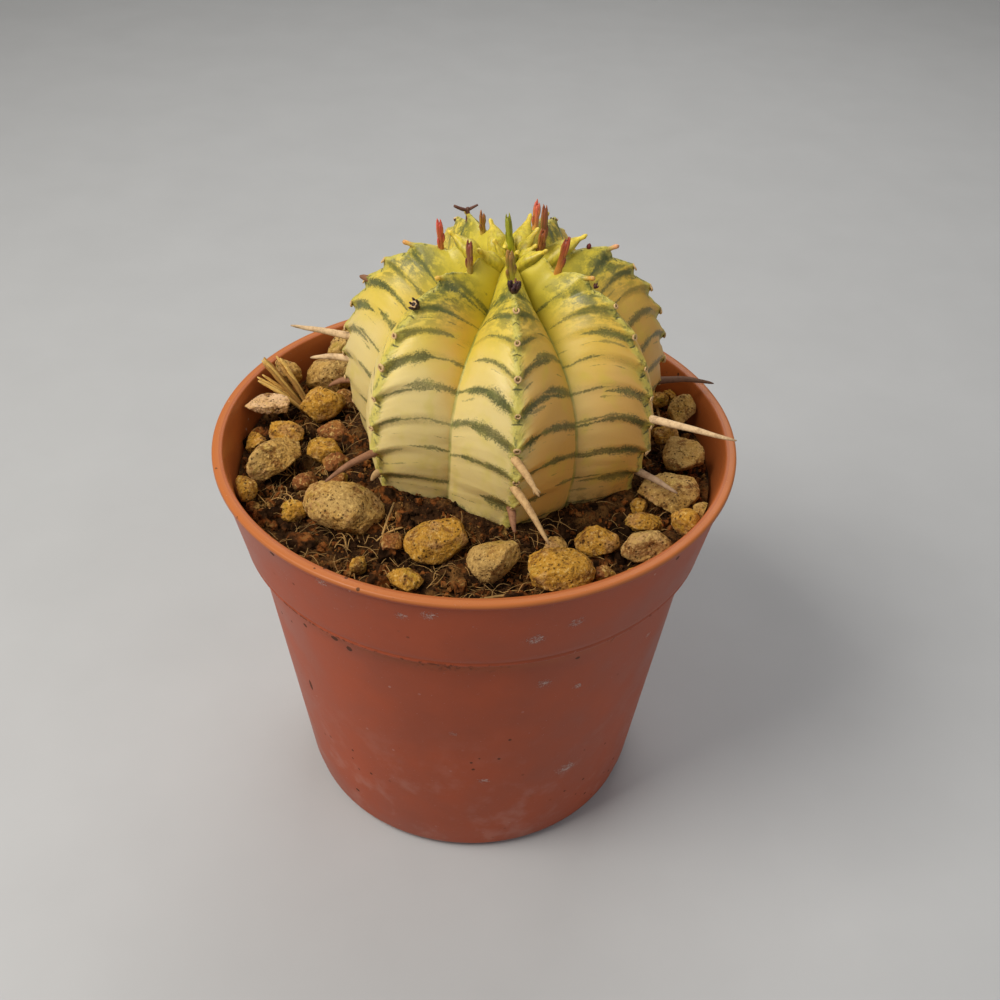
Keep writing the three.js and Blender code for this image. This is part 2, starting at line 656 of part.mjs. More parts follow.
// Stones that meet are parted by the clearance, the later one giving way
function makeGravel() {
  const placed = [];
  gravel.forEach((entry, index) => {
    let stone = makeStone(entry, stoneSeed + index, 0);
    placed.forEach((other) => {
      const apart = Math.hypot(entry.at[0] - other.entry.at[0], entry.at[1] - other.entry.at[1]);
      if (apart < entry.half[0] + other.entry.half[0] + 2 * clearance) {
        stone = stone.subtract(other.swollen);
      }
    });
    const swollen = makeStone(entry, stoneSeed + index, clearance);
    placed.push({ entry, stone: largestBody(stone), swollen });
  });
  return placed;
}

// Dry stem: flat blades that fan out from one foot
function makeStemBlade({ foot, tip }, swell) {
  const from = new THREE.Vector3(...foot);
  const to = new THREE.Vector3(...tip);
  const along = to.clone().sub(from).normalize();
  const across = new THREE.Vector3(0.75, 0.2, 0.3).cross(along).normalize();
  const thick = along.clone().cross(across);
  const start = from.clone().addScaledVector(along, -swell);
  const end = to.clone().addScaledVector(along, swell);
  const rings = [0, 0.5, 1].map((f) => {
    const centre = start.clone().lerp(end, f).addScaledVector(thick, 0.25 * Math.sin(Math.PI * f));
    const w = stemHalfWidth * mix(1, 0.6, f) + swell;
    const h = stemHalfThickness + swell;
    return [[w, 0], [0.5 * w, h], [-0.5 * w, h], [-w, 0], [-0.5 * w, -h], [0.5 * w, -h]].map(
      ([u, v]) => centre.clone().addScaledVector(across, u).addScaledVector(thick, v).toArray());
  });
  return solidOf(loft(rings, start.toArray(), end.toArray()));
}

function makeStem(swell) {
  return stemBlades.map((blade) => makeStemBlade(blade, swell)).reduce((all, blade) => all.add(blade));
}

// Soil
function soilHeight(x, y) {
  const waves = Math.sin(0.55 * x + 1.3) * Math.cos(0.47 * y - 0.6)
    + 0.6 * Math.sin(0.9 * x - 0.8 * y) + 0.4 * Math.cos(1.3 * y + 0.7 * x);
  const fromPlant = Math.hypot(x - plantX, y - plantY) - ridgeRadius + 2;
  const aside = Math.atan2(y - plantY, x - plantX) / degree - soilBank.bearing;
  const awayFromBank = (aside - 360 * Math.round(aside / 360)) / soilBank.width;
  const bank = soilBank.height * Math.exp(-(awayFromBank ** 2));
  const mound = (soilMound + bank) * (1 - smooth(-1, soilMoundReach, fromPlant));
  return soilLevel + soilRoughness * 0.5 * waves + 0.012 * (y + 8) + mound;
}

// The ring of the plant's skin at the height where the soil lies against it
function soilContact() {
  const [above, below] = soilMeetsTubercles.map(skinRing);
  return below.map(([x, y, z], i) => {
    const [xAbove, yAbove, zAbove] = above[i];
    const f = (soilHeight(x, y) - z) / (zAbove - z);
    return [mix(x, xAbove, f), mix(y, yAbove, f), soilLevel];
  });
}

function makeSoil(gravelPieces, stem) {
  const bearings = baseRing.map(([x, y]) => Math.atan2(y, x));
  const wallRing = (z, share = 1) => bearings.map((turn) => {
    const r = (innerPotRadius(z) - clearance - soilSettling) * share;
    return [r * Math.cos(turn), r * Math.sin(turn), z];
  });
  const floorTop = footRingHeight + floorThickness + soilFloorGap;
  const rings = [wallRing(floorTop, 0.94), wallRing(floorTop + 1.6)];
  rings.push(wallRing(collarFoot - 0.7), wallRing(collarFoot + 0.1));
  const outer = wallRing(soilLevel);
  const inner = drawnIn(soilContact(), 1, soilCollar, soilLevel);
  for (const share of soilRings) {
    rings.push(inner.map(([x, y], i) => {
      const px = mix(x, outer[i][0], share);
      const py = mix(y, outer[i][1], share);
      return [px, py, soilHeight(px, py)];
    }));
  }
  const rootGap = clearance + soilSettling;
  rings.push(drawnIn(baseRing, 1, rootGap, bodyBase));
  for (const [z, scale] of rootRings) rings.push(drawnIn(baseRing, scale, rootGap, z));
  const start = [0, 0, floorTop];
  let soil = solidOf(loft(rings, start, [plantX, plantY, rootTip - 2 * clearance]));
  for (const { swollen } of gravelPieces) soil = soil.subtract(swollen);
  return largestBody(soil.subtract(stem));
}

// Materials
const finish = (colour, roughness) => new THREE.MeshStandardMaterial({
  color: colour, roughness, metalness: 0,
});
const potPlastic = finish(0x9c5a3e, 0.42);
const soilEarth = finish(0x33241a, 0.95);
const spurgeSkin = finish(0xcfc66a, 0.5);
const dryStraw = finish(0xb89a5a, 0.8);
const stoneTones = [finish(0xb4935a, 0.9), finish(0xa98445, 0.9), finish(0x9a6a3c, 0.9)];

// Assembly
const model = new THREE.Group();

function addPiece(name, solid, material) {
  const mesh = new THREE.Mesh(geometryOf(solid), material);
  mesh.name = name;
  model.add(mesh);
}

const gravelPieces = makeGravel();
const stemHole = makeStem(clearance);
let stem = makeStem(0);
for (const { swollen } of gravelPieces) stem = stem.subtract(swollen);

addPiece('pot', makePot(), potPlastic);
addPiece('soil', makeSoil(gravelPieces, stemHole), soilEarth);
addPiece('spurge', makePlant(), spurgeSkin);
addPiece('dry_stem', largestBody(stem), dryStraw);
gravelPieces.forEach(({ stone }, index) => {
  const name = `stone_${String(index + 1).padStart(2, '0')}`;
  addPiece(name, stone, stoneTones[index % stoneTones.length]);
});

export default model;
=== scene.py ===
# Potted variegated melon spurge: the looks of the pot, soil, gravel and plant
import math
import random

import bmesh
import bpy
import numpy as np
from mathutils import Euler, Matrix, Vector, noise


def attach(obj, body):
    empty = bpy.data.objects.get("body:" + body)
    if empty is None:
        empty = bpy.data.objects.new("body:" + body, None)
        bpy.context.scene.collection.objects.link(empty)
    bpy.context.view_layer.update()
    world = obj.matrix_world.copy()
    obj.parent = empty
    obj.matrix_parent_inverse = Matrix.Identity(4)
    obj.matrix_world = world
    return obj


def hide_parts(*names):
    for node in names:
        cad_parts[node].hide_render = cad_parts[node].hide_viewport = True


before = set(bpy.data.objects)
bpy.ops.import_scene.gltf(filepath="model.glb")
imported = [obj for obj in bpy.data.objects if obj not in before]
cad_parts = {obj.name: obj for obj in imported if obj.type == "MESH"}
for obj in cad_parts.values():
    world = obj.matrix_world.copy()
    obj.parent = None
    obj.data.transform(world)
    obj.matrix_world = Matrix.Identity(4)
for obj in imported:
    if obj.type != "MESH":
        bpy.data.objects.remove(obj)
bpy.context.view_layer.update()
mm = 0.001
degree = math.pi / 180
fullTurn = 2 * math.pi

# view and light
view = {
    "eye": (3.094, -117.354, 131.610), "turn": (51.8935, -1.4749, 1.1564), "lens": 44.39, "sensor": 36,
    "nearest": 5, "aim": (0, 0, 50), "floorColour": (0.49, 0.515, 0.55), "floorSize": 2400,
    "skyColour": (0.96, 0.91, 0.84), "skyStrength": 0.24,
    # each light: name, place, size, power and colour
    "lights": (
        ("keyLight", (-200, -110, 320), 190, 1.22, (1.0, 0.93, 0.82)),
        ("fillLight", (260, -160, 220), 260, 0.16, (0.94, 0.95, 1.0)),
        ("backLight", (40, 260, 320), 240, 0.5, (1.0, 0.95, 0.88)),
    ),
}


def showObject(name, data):
    made = bpy.data.objects.new(name, data)
    bpy.context.scene.collection.objects.link(made)
    return made


def placeLight(name, place, size, power, colour):
    lamp = bpy.data.lights.new(name, "AREA")
    lamp.size, lamp.energy, lamp.color = size * mm, power, colour
    made = showObject(name, lamp)
    made.location = Vector(place) * mm
    made.rotation_euler = (Vector(view["aim"]) * mm - made.location).to_track_quat("-Z", "Y").to_euler()


def placeCamera():
    camera = bpy.data.cameras.new("photoView")
    camera.lens, camera.sensor_width, camera.clip_start = view["lens"], view["sensor"], view["nearest"] * mm
    made = showObject("photoView", camera)
    made.location = Vector(view["eye"]) * mm
    made.rotation_euler = Euler([a * degree for a in view["turn"]], "XYZ")
    bpy.context.scene.camera = made


placeCamera()
for light in view["lights"]:
    placeLight(*light)
world = bpy.data.worlds.new("paleRoom")
bpy.context.scene.world = world
world.use_nodes = True
sky = world.node_tree.nodes["Background"].inputs
sky["Color"].default_value = (*view["skyColour"], 1)
sky["Strength"].default_value = view["skyStrength"]
bpy.context.scene.view_settings.view_transform = "Standard"
print("view and light placed")


# node trees, written with values that add, multiply and compare as numbers do
class Value:
    def __init__(self, socket):
        self.socket, self.tree = socket, socket.id_data

    def __add__(self, other):
        return maths("ADD", self, other)

    def __sub__(self, other):
        return maths("SUBTRACT", self, other)

    def __rsub__(self, other):
        return maths("SUBTRACT", other, self)

    def __mul__(self, other):
        return maths("MULTIPLY", self, other)

    def __truediv__(self, other):
        return maths("DIVIDE", self, other)

    def __lt__(self, other):
        return maths("LESS_THAN", self, other)

    def __gt__(self, other):
        return maths("GREATER_THAN", self, other)

    def ease(self, low, high, outLow=0.0, outHigh=1.0):
        # goes smoothly from outLow to outHigh while the value goes from low to high
        return addNode(self.tree, "ShaderNodeMapRange", {
            "Value": self, "From Min": low, "From Max": high, "To Min": outLow, "To Max": outHigh},
            "Result", interpolation_type="SMOOTHSTEP")

    def easeMm(self, low, high, *ends):
        return self.ease(low * mm, high * mm, *ends)


def setInputs(node, inputs):
    for key, value in inputs.items():
        for one in value if isinstance(value, list) else [value]:
            if isinstance(one, Value):
                node.id_data.links.new(one.socket, node.inputs[key])
            else:
                node.inputs[key].default_value = one


def addNode(tree, kind, inputs=None, take=0, **settings):
    # take says which output comes back; None brings the node itself
    node = tree.nodes.new(kind)
    for key, value in settings.items():
        setattr(node, key, value)
    setInputs(node, inputs or {})
    return node if take is None else Value(node.outputs[take])


def joinValues(kind, values, take=0, **settings):
    tree = next(value.tree for value in values if isinstance(value, Value))
    return addNode(tree, kind, dict(enumerate(values)), take, **settings)


def maths(operation, *values, clamp=False):
    return joinValues("ShaderNodeMath", values, operation=operation, use_clamp=clamp)


def vectorMaths(operation, *values, take=0):
    return joinValues("ShaderNodeVectorMath", values, take, operation=operation)


def lengthOf(vector):
    return vectorMaths("LENGTH", vector, take="Value")


def scaleBy(vector, size):
    return addNode(vector.tree, "ShaderNodeVectorMath", {0: vector, "Scale": size}, operation="SCALE")


def combine(*values):
    return joinValues("ShaderNodeCombineXYZ", values)


def split(value, kind="XYZ"):
    node = addNode(value.tree, "ShaderNodeSeparate" + kind, {0: value}, None)
    return [Value(socket) for socket in node.outputs]


def scaled(colour, share):
    return tuple(c * share for c in colour)


def rgba(colour):
    return (*colour, 1) if isinstance(colour, tuple) else colour


def blend(share, first, second, kind="MIX"):
    return addNode(share.tree, "ShaderNodeMix", {0: share, 6: rgba(first), 7: rgba(second)}, 2,
                   data_type="RGBA", blend_type=kind)


def layered(colour, *layers):
    # lays each colour over what is there, by its share
    for share, over in layers:
        colour = blend(share, colour, over)
    return colour


def ramp(value, *stops):
    node = addNode(value.tree, "ShaderNodeValToRGB", {"Fac": value}, None)
    elements = node.color_ramp.elements
    while len(elements) < len(stops):
        elements.new(0.5)
    for element, (place, colour) in zip(elements, stops):
        element.position, element.color = place, rgba(colour)
    return Value(node.outputs["Color"])


def bump(height, distance, strength=1.0, below=None):
    inputs = {"Height": height, "Distance": distance * mm, "Strength": strength}
    if below:
        inputs["Normal"] = below
    return addNode(height.tree, "ShaderNodeBump", inputs, "Normal")


class Paint:
    # a procedural material with its textures; finish sets the inputs of its shader
    def __init__(self, name):
        self.material = bpy.data.materials.new(name)
        self.material.use_nodes = True
        self.tree = self.material.node_tree
        self.place = addNode(self.tree, "ShaderNodeTexCoord", take="Object")

    def noise(self, scale, detail=3, roughness=0.55, distortion=0.0, place=None):
        return addNode(self.tree, "ShaderNodeTexNoise", {
            "Vector": place or self.place, "Scale": scale, "Detail": detail, "Roughness": roughness,
            "Distortion": distortion}, "Fac")

    def cells(self, scale):
        # distance to the nearest cell's middle, and the cell's own random colour
        node = addNode(self.tree, "ShaderNodeTexVoronoi", {
            "Vector": self.place, "Scale": scale, "Randomness": 1.0}, None, feature="F1")
        return Value(node.outputs["Distance"]), Value(node.outputs["Color"])

    def specks(self, scale, size, channel, kept):
        # small dots in some of the cells
        away, chance = self.cells(scale)
        return (away < size) * (split(chance, "Color")[channel] > kept)

    def stretched(self, up):
        return addNode(self.tree, "ShaderNodeMapping", {"Vector": self.place, "Scale": (1, 1, up)})

    def attribute(self, name, take="Fac"):
        return addNode(self.tree, "ShaderNodeAttribute", take=take, attribute_name=name)

    def finish(self, colour, roughness, normal=None, **others):
        inputs = {"Base Color": colour, "Roughness": roughness}
        if normal:
            inputs["Normal"] = normal
        if "specular" in others:
            inputs["Specular IOR Level"] = others["specular"]
        if "subsurface" in others:
            weight, scale, radius = others["subsurface"]
            inputs.update({"Subsurface Weight": weight, "Subsurface Scale": scale * mm,
                           "Subsurface Radius": radius})
        setInputs(self.tree.nodes["Principled BSDF"], inputs)
        return self.material


class GeometryTree:
    # a tree with named inputs that builds geometry from the points or faces of its host
    def __init__(self, name, sockets):
        self.tree = bpy.data.node_groups.new(name, "GeometryNodeTree")
        interface = self.tree.interface
        for label, kind in {"Geometry": "Geometry", **sockets}.items():
            interface.new_socket(label, in_out="INPUT", socket_type="NodeSocket" + kind)
        interface.new_socket("Geometry", in_out="OUTPUT", socket_type="NodeSocketGeometry")
        given = self.add("NodeGroupInput", take=None)
        self.given = {socket.name: Value(socket) for socket in given.outputs}

    def add(self, kind, inputs=None, take=0, **settings):
        return addNode(self.tree, kind, inputs, take, **settings)

    def finish(self, geometry, material):
        real = self.add("GeometryNodeRealizeInstances", {0: geometry})
        dressed = self.add("GeometryNodeSetMaterial", {"Geometry": real, "Material": self.given[material]})
        self.add("NodeGroupOutput", {0: dressed}, None)
        return self

    def grow(self, name, host, values):
        # runs the tree on the host mesh and returns the result as a plain mesh object
        carrier = showObject(name + "Carrier", host)
        modifier = carrier.modifiers.new(name, "NODES")
        modifier.node_group = self.tree
        for item in self.tree.interface.items_tree:
            if item.in_out == "INPUT" and item.name in values:
                modifier[item.identifier] = values[item.name]
        ready = carrier.evaluated_get(bpy.context.evaluated_depsgraph_get())
        mesh = bpy.data.meshes.new_from_object(ready)
        carrier.modifiers.clear()
        bpy.data.objects.remove(carrier)
        mesh.name = name
        return showObject(name, mesh)


# meshes from points and tubes
def meshOf(name, points, faces, smooth=True):
    mesh = bpy.data.meshes.new(name)
    mesh.from_pydata([tuple(p) for p in np.asarray(points) * mm], [], faces)
    mesh.validate()
    mesh.polygons.foreach_set("use_smooth", [smooth] * len(mesh.polygons))
    mesh.update()
    return mesh


def showMesh(mesh, material):
    mesh.materials.append(material)
    return showObject(mesh.name, mesh)


def settle(piece, slot, *nodes):
    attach(piece, "root")
    if nodes:
        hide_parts(*nodes)


def seededRandom(seed):
    state = seed
    while True:
        state = (state + 0x6d2b79f5) & 0xffffffff
        mixed = ((state ^ (state >> 15)) * (state | 1)) & 0xffffffff
        mixed = (mixed ^ (mixed + (((mixed ^ (mixed >> 7)) * (mixed | 61)) & 0xffffffff))) & 0xffffffff
        yield ((mixed ^ (mixed >> 14)) & 0xffffffff) / 4294967296


def clamp01(x):
    return np.clip(x, 0, 1)


def smoothStep(low, high, x):
    f = clamp01((np.asarray(x, float) - low) / (high - low))
    return f * f * (3 - 2 * f)


def mix(a, b, f):
    return a + (b - a) * f


def unit(vectors):
    size = np.linalg.norm(vectors) if vectors.ndim == 1 else np.linalg.norm(vectors, axis=1, keepdims=True)
    return vectors / size


def circled(angles):
    return np.column_stack([np.cos(angles), np.sin(angles)])


def upBy(z):
    return np.array([0, 0, z])


def bumpy(points, scale, seed, octaves=3):
    shift = Vector((seed * 7.13, seed * 3.71, seed * 5.37))
    return np.array([noise.fractal(Vector(p) * scale + shift, 1.0, 2.0, octaves) for p in points])


def ringFaces(rows, around, first=0):
    # quads between rows of points that each run round once
    faces = []
    for start in range(first, first + (rows - 1) * around, around):
        for k in range(around):
            a, b = start + k, start + (k + 1) % around
            faces.append((a, b, b + around, a + around))
    return faces


def tubeFaces(rows, around, first):
    last = first + (rows - 1) * around
    ends = [tuple(reversed(range(first, first + around))), tuple(range(last, last + around))]
    return ringFaces(rows, around, first) + ends


def aheadAt(line, i):
    return line[min(i + 1, len(line) - 1)] - line[max(i - 1, 0)]


def tubeMesh(paths):
    # paths: (points, radii, sides, flatness); each point also gets its share of the way and its path's number
    points, faces, along, owner = [], [], [], []
    for number, (line, radii, sides, flatness) in enumerate(paths):
        line = np.asarray(line, float)
        faces += tubeFaces(len(line), sides, len(points))
        across = None
        for i, centre in enumerate(line):
            ahead = unit(aheadAt(line, i))
            if across is None:
                across = np.cross((1.0, 0, 0) if abs(ahead[2]) > 0.9 else (0, 0, 1.0), ahead)
            across = unit(across - ahead * np.dot(across, ahead))
            rise = np.cross(ahead, across)
            for k in range(sides):
                turn = fullTurn * k / sides
                away = math.cos(turn) * across + flatness * math.sin(turn) * rise
                points.append(centre + radii[i] * away)
            along += [i / (len(line) - 1)] * sides
            owner += [number] * sides
    return np.array(points), faces, np.array(along), np.array(owner)


def addLayer(mesh, name, values, kind="FLOAT", domain="POINT"):
    field = {"FLOAT": "value", "FLOAT_VECTOR": "vector", "FLOAT_COLOR": "color"}[kind]
    mesh.attributes.new(name, kind, domain).data.foreach_set(field, np.array(values, np.float32).ravel())


def addTint(mesh, colours):
    addLayer(mesh, "tint", np.column_stack([colours, np.ones(len(colours))]), "FLOAT_COLOR")


def faceOutwards(mesh):
    work = bmesh.new()
    work.from_mesh(mesh)
    bmesh.ops.remove_doubles(work, verts=work.verts, dist=1e-6)
    bmesh.ops.recalc_face_normals(work, faces=work.faces)
    if work.calc_volume(signed=True) < 0:
        bmesh.ops.reverse_faces(work, faces=work.faces)
    work.to_mesh(mesh)
    work.free()
    mesh.update()


# floor
def buildFloor():
    paint = Paint("palePaint")
    colour = view["floorColour"]
    painted = paint.finish(ramp(paint.noise(60, 4), (0.3, scaled(colour, 0.96)), (0.7, colour)), 0.75)
    half = view["floorSize"] / 2
    corners = [(-half, -half, 0), (half, -half, 0), (half, half, 0), (-half, half, 0)]
    return showMesh(meshOf("floor", corners, [(0, 1, 2, 3)], False), painted)


floor = buildFloor()

# pot
pot = {
    "height": 50.0, "rimRadius": 30.0, "rimWidth": 1.25, "lipHeight": 0.8, "lipDepth": 0.45,
    "collarFoot": 39.0, "collarFootRadius": 27.5, "collarStep": 1.1, "bead": 0.04, "stepHeight": 0.6,
    "footRadius": 21.4, "footRounding": 1.6, "wall": 1.0, "footRing": 1.5, "footRingWidth": 2.4,
    "floor": 1.0, "segments": 180, "holes": 6, "holeRadius": 2.4, "holeCircle": 12.5,
    # rimHighlight is a painted highlight on the rim's top; innerLitColour is painted light on the inside of
    # the collar
    "colour": (0.36, 0.064, 0.019), "rimHighlight": (0.47, 0.145, 0.038), "innerLitColour": (0.40, 0.11, 0.028),
    "roughness": 0.42, "scuffColour": (0.74, 0.64, 0.60), "dirtColour": (0.045, 0.022, 0.012),
    # heights between which the pot takes its rim's painted highlight, its inner painted light, its most
    # scuffed, filmy and dusty look
    "rimHighlightFrom": (49.4, 49.8), "innerLitFrom": (36, 40), "scuffFrom": (30, 46), "filmFrom": (30, 6),
    "ledge": ((36.2, 38.4), (39.6, 39.0)),
    # rubbed white places: where on the wall and how wide; they are three quarters as high
    "scuffs": ((-3.6, -29.0, 47.6, 1.6), (-6.3, -28.4, 46.8, 1.2), (7.2, -27.4, 43.3, 1.7),
               (11.3, -26.3, 44.8, 1.5), (8.6, -24.2, 33.6, 1.5), (12.4, -22.1, 31.1, 1.0),
               (12.2, -19.8, 14.4, 2.3), (20.5, -15.2, 32.6, 0.9), (-14.6, -25.6, 48.4, 1.2),
               (-1.3, -24.6, 25.3, 0.9), (2.3, -23.3, 15.7, 1.3)),
    # dark soil smears: where, width and height
    "smears": ((-18.8, -15.5, 22.7, 0.55, 1.5), (-14.3, -21.8, 37.0, 0.8, 0.5),
               (-12.6, -22.7, 36.4, 0.6, 0.6), (-18.1, -18.7, 35.7, 0.5, 0.4), (-13.7, -17.4, 5.9, 0.5, 0.4),
               (-20.2, -21.4, 48.4, 0.6, 0.45), (12.0, -23.1, 36.5, 0.5, 0.3), (21.8, -19.6, 48.1, 0.5, 0.4),
               (4.6, 22.4, 14.0, 0.6, 1.1)),
}
potFloorTop = pot["footRing"] + pot["floor"]


def outerPotRadius(z):
    foot = pot["collarFoot"]
    if z >= foot:
        reach = pot["height"] - pot["lipHeight"] - foot
        return mix(pot["collarFootRadius"], pot["rimRadius"] - pot["lipDepth"], (z - foot) / reach)
    return mix(pot["footRadius"], pot["collarFootRadius"] - pot["collarStep"], z / foot)


def innerPotRadius(z):
    atStep = pot["collarFoot"] - pot["stepHeight"]
    if z >= pot["collarFoot"] or z <= atStep:
        return outerPotRadius(z) - pot["wall"]
    share = (z - atStep) / (pot["collarFoot"] - atStep)
    return mix(outerPotRadius(atStep), outerPotRadius(pot["collarFoot"]), share) - pot["wall"]


def shifted(r, z, *steps):
    return [(r + outward, z + up) for outward, up in steps]


def potProfile():
    top, foot, ringTop, lip = pot["height"], pot["collarFoot"], pot["footRing"], pot["rimRadius"]
    lipFoot, rounding = top - pot["lipHeight"], pot["footRounding"]
    ringInner = pot["footRadius"] - rounding - pot["footRingWidth"]
    line = [(0, ringTop)] + shifted(ringInner, ringTop, (-0.9, 0), (-0.6, -0.1))
    line += shifted(ringInner, 0, (-0.1, 0.2), (0, 0), (0.2, 0))
    for turn in range(0, 91, 15):
        line.append((pot["footRadius"] - rounding * (1 - math.sin(turn * degree)),
                     rounding * (1 - math.cos(turn * degree))))
    line += [(outerPotRadius(z), z) for z in np.linspace(3, foot - 0.35, 14)]
    step, bead = outerPotRadius(foot - 0.3), pot["collarFootRadius"] + pot["bead"]
    line += [(step, foot - 0.3), (mix(step, bead, 0.3), foot - 0.12), (mix(step, bead, 0.8), foot - 0.06)]
    line += shifted(bead, foot, (-0.05, 0.02), (0, 0.12), (0, 0.42), (-0.04, 0.52))
    line += [(outerPotRadius(z), z) for z in (foot + 0.8, *np.linspace(foot + 1.4, lipFoot - 0.2, 7))]
    line += shifted(lip, lipFoot, (-pot["lipDepth"], 0), (-0.3, 0.06), (-0.08, 0.14), (0, 0.28))
    line += shifted(lip, top, (0, -0.26), (-0.06, -0.1), (-0.2, -0.02), (-0.36, 0))
    line += shifted(lip - pot["rimWidth"], top, (0.25, 0), (0.08, -0.05), (0, -0.2))
    line += [(innerPotRadius(z), z) for z in (top - 1.2, 47.5, 46, 44, 42, foot, foot - pot["stepHeight"],
                                              34, 28, 22, 16, 10, potFloorTop + 1.2)]
    line += shifted(innerPotRadius(potFloorTop), potFloorTop, (-0.4, 0.25), (-0.9, 0))
    return line + [(0, potFloorTop)]


def potPlastic():
    paint = Paint("terracottaPlastic")
    place, z = paint.place, split(paint.place)[2]
    cloud = paint.noise(90, 4, 0.6)
    base = ramp(cloud, (0.32, scaled(pot["colour"], 0.86)), (0.68, scaled(pot["colour"], 1.12)))
    # halfway through the wall of the collar, which leans outward
    low, high = pot["collarFoot"] + 1, pot["height"] - 2
    lean = (outerPotRadius(high) - outerPotRadius(low)) / (high - low)
    middle = (z - low * mm) * lean + (outerPotRadius(low) - pot["wall"] / 2) * mm
    inside = (lengthOf(vectorMaths("MULTIPLY", place, (1, 1, 0))) < middle) * z.easeMm(*pot["innerLitFrom"])

    def spots(marks):
        # how near the marked places are
        found = None
        for mark in marks:
            wide, high = mark[3], mark[4] if len(mark) > 4 else mark[3] * 0.75
            away = vectorMaths("SUBTRACT", place, Vector(mark[:3]) * mm)
            away = vectorMaths("MULTIPLY", away, (1000 / wide, 1000 / wide, 1000 / high))
            here = lengthOf(away).ease(1.0, 0.25)
            found = maths("MAXIMUM", found, here) if found else here
        return found

    # pale scuffs and splashes: thin scratches and specks, thickest just under the rim
    specks = paint.specks(620, 0.11, 0, 0.8)
    specks = specks * (paint.noise(150).ease(0.50, 0.62) * z.easeMm(*pot["scuffFrom"], 0.25, 1.0))
    scratches = paint.noise(2200, 4, 0.75, 1.6, paint.stretched(1.8))
    scuff = maths("MAXIMUM", specks, (scratches + spots(pot["scuffs"]) * 0.16).ease(0.66, 0.73))
    film = paint.noise(260, 4, 0.6).ease(0.50, 0.72) * z.easeMm(*pot["filmFrom"])
    # soil dust: dark crumbs under the collar and thinly over the wall
    dust = paint.specks(760, 0.15, 1, 0.7) * paint.noise(75, 2).ease(0.50, 0.60)
    ledge = z.easeMm(*pot["ledge"][0]) * z.easeMm(*pot["ledge"][1])
    ledge = ledge * (paint.noise(1300, 3, 0.7) * 0.7 + paint.noise(90, 2) * 0.5).ease(0.64, 0.72)
    smear = (spots(pot["smears"]) + paint.noise(1700, 3, 0.7) * 0.9).ease(0.85, 1.05)
    dirt = maths("MAXIMUM", dust, maths("MAXIMUM", ledge, smear))
    marks = maths("MAXIMUM", scuff, dirt)
    # painted light: the rim's top and the inside of the collar are drawn lighter, as if lit from above
    colour = layered(base, (z.easeMm(*pot["rimHighlightFrom"]), pot["rimHighlight"]), (inside, pot["innerLitColour"]),
                     (film * 0.09, pot["scuffColour"]), (scuff * 0.7, pot["scuffColour"]),
                     (dirt * 0.8, pot["dirtColour"]))
    rough = cloud.ease(0.3, 0.7, pot["roughness"] - 0.06, pot["roughness"] + 0.08) + marks * 0.3
    orange = bump(paint.noise(1600, 2), 0.02, 0.35)
    wave = bump(paint.noise(110, 2), 0.25, 0.35, orange)
    return paint.finish(colour, rough, bump(marks, 0.06, 0.8, wave), specular=0.3)


def buildPot():
    tree = GeometryTree("turnedPot", {"Segments": "Int", "Hole Radius": "Float", "Hole Circle": "Float",
                                      "Holes": "Int", "Plastic": "Material"})
    add, given = tree.add, tree.given
    # the profile's points, one after another in each column, turned round the axis
    rows = add("GeometryNodeAttributeDomainSize", {0: given["Geometry"]}, "Point Count")
    grid = add("GeometryNodeMeshGrid", {"Vertices X": given["Segments"] + 1, "Vertices Y": rows}, "Mesh")
    index = add("GeometryNodeInputIndex")
    column = maths("FLOOR", (index + 0.5) / rows)
    r, _, z = split(add("GeometryNodeSampleIndex", {
        "Geometry": given["Geometry"], "Value": add("GeometryNodeInputPosition"),
        "Index": index - column * rows}, data_type="FLOAT_VECTOR", domain="POINT"))
    turn = column / given["Segments"] * fullTurn
    onCircle = combine(r * maths("COSINE", turn), r * maths("SINE", turn), z)
    turned = add("GeometryNodeSetPosition", {"Geometry": grid, "Position": onCircle})
    merged = add("GeometryNodeMergeByDistance", {"Geometry": turned, "Distance": 2e-6})
    # the drain holes
    ring = add("GeometryNodeMeshCircle", {"Vertices": given["Holes"], "Radius": given["Hole Circle"]})
    drill = add("GeometryNodeMeshCylinder", {
        "Vertices": 32, "Radius": given["Hole Radius"], "Depth": 8 * mm}, "Mesh")
    drills = add("GeometryNodeRealizeInstances", {
        0: add("GeometryNodeInstanceOnPoints", {"Points": ring, "Instance": drill})})
    drilled = add("GeometryNodeMeshBoolean", {0: merged, 1: drills}, operation="DIFFERENCE")
    tree.finish(add("GeometryNodeSetShadeSmooth", {0: drilled}), "Plastic")
    host = meshOf("potProfile", [(r, 0, z) for r, z in potProfile()], [])
    made = tree.grow("potWall", host, {
        "Segments": pot["segments"], "Hole Radius": pot["holeRadius"] * mm,
        "Hole Circle": pot["holeCircle"] * mm, "Holes": pot["holes"], "Plastic": potPlastic()})
    faceOutwards(made.data)
    return made


potWall = buildPot()
settle(potWall, "pot_plastic", "pot")
print("pot turned:", len(potWall.data.polygons), "faces")

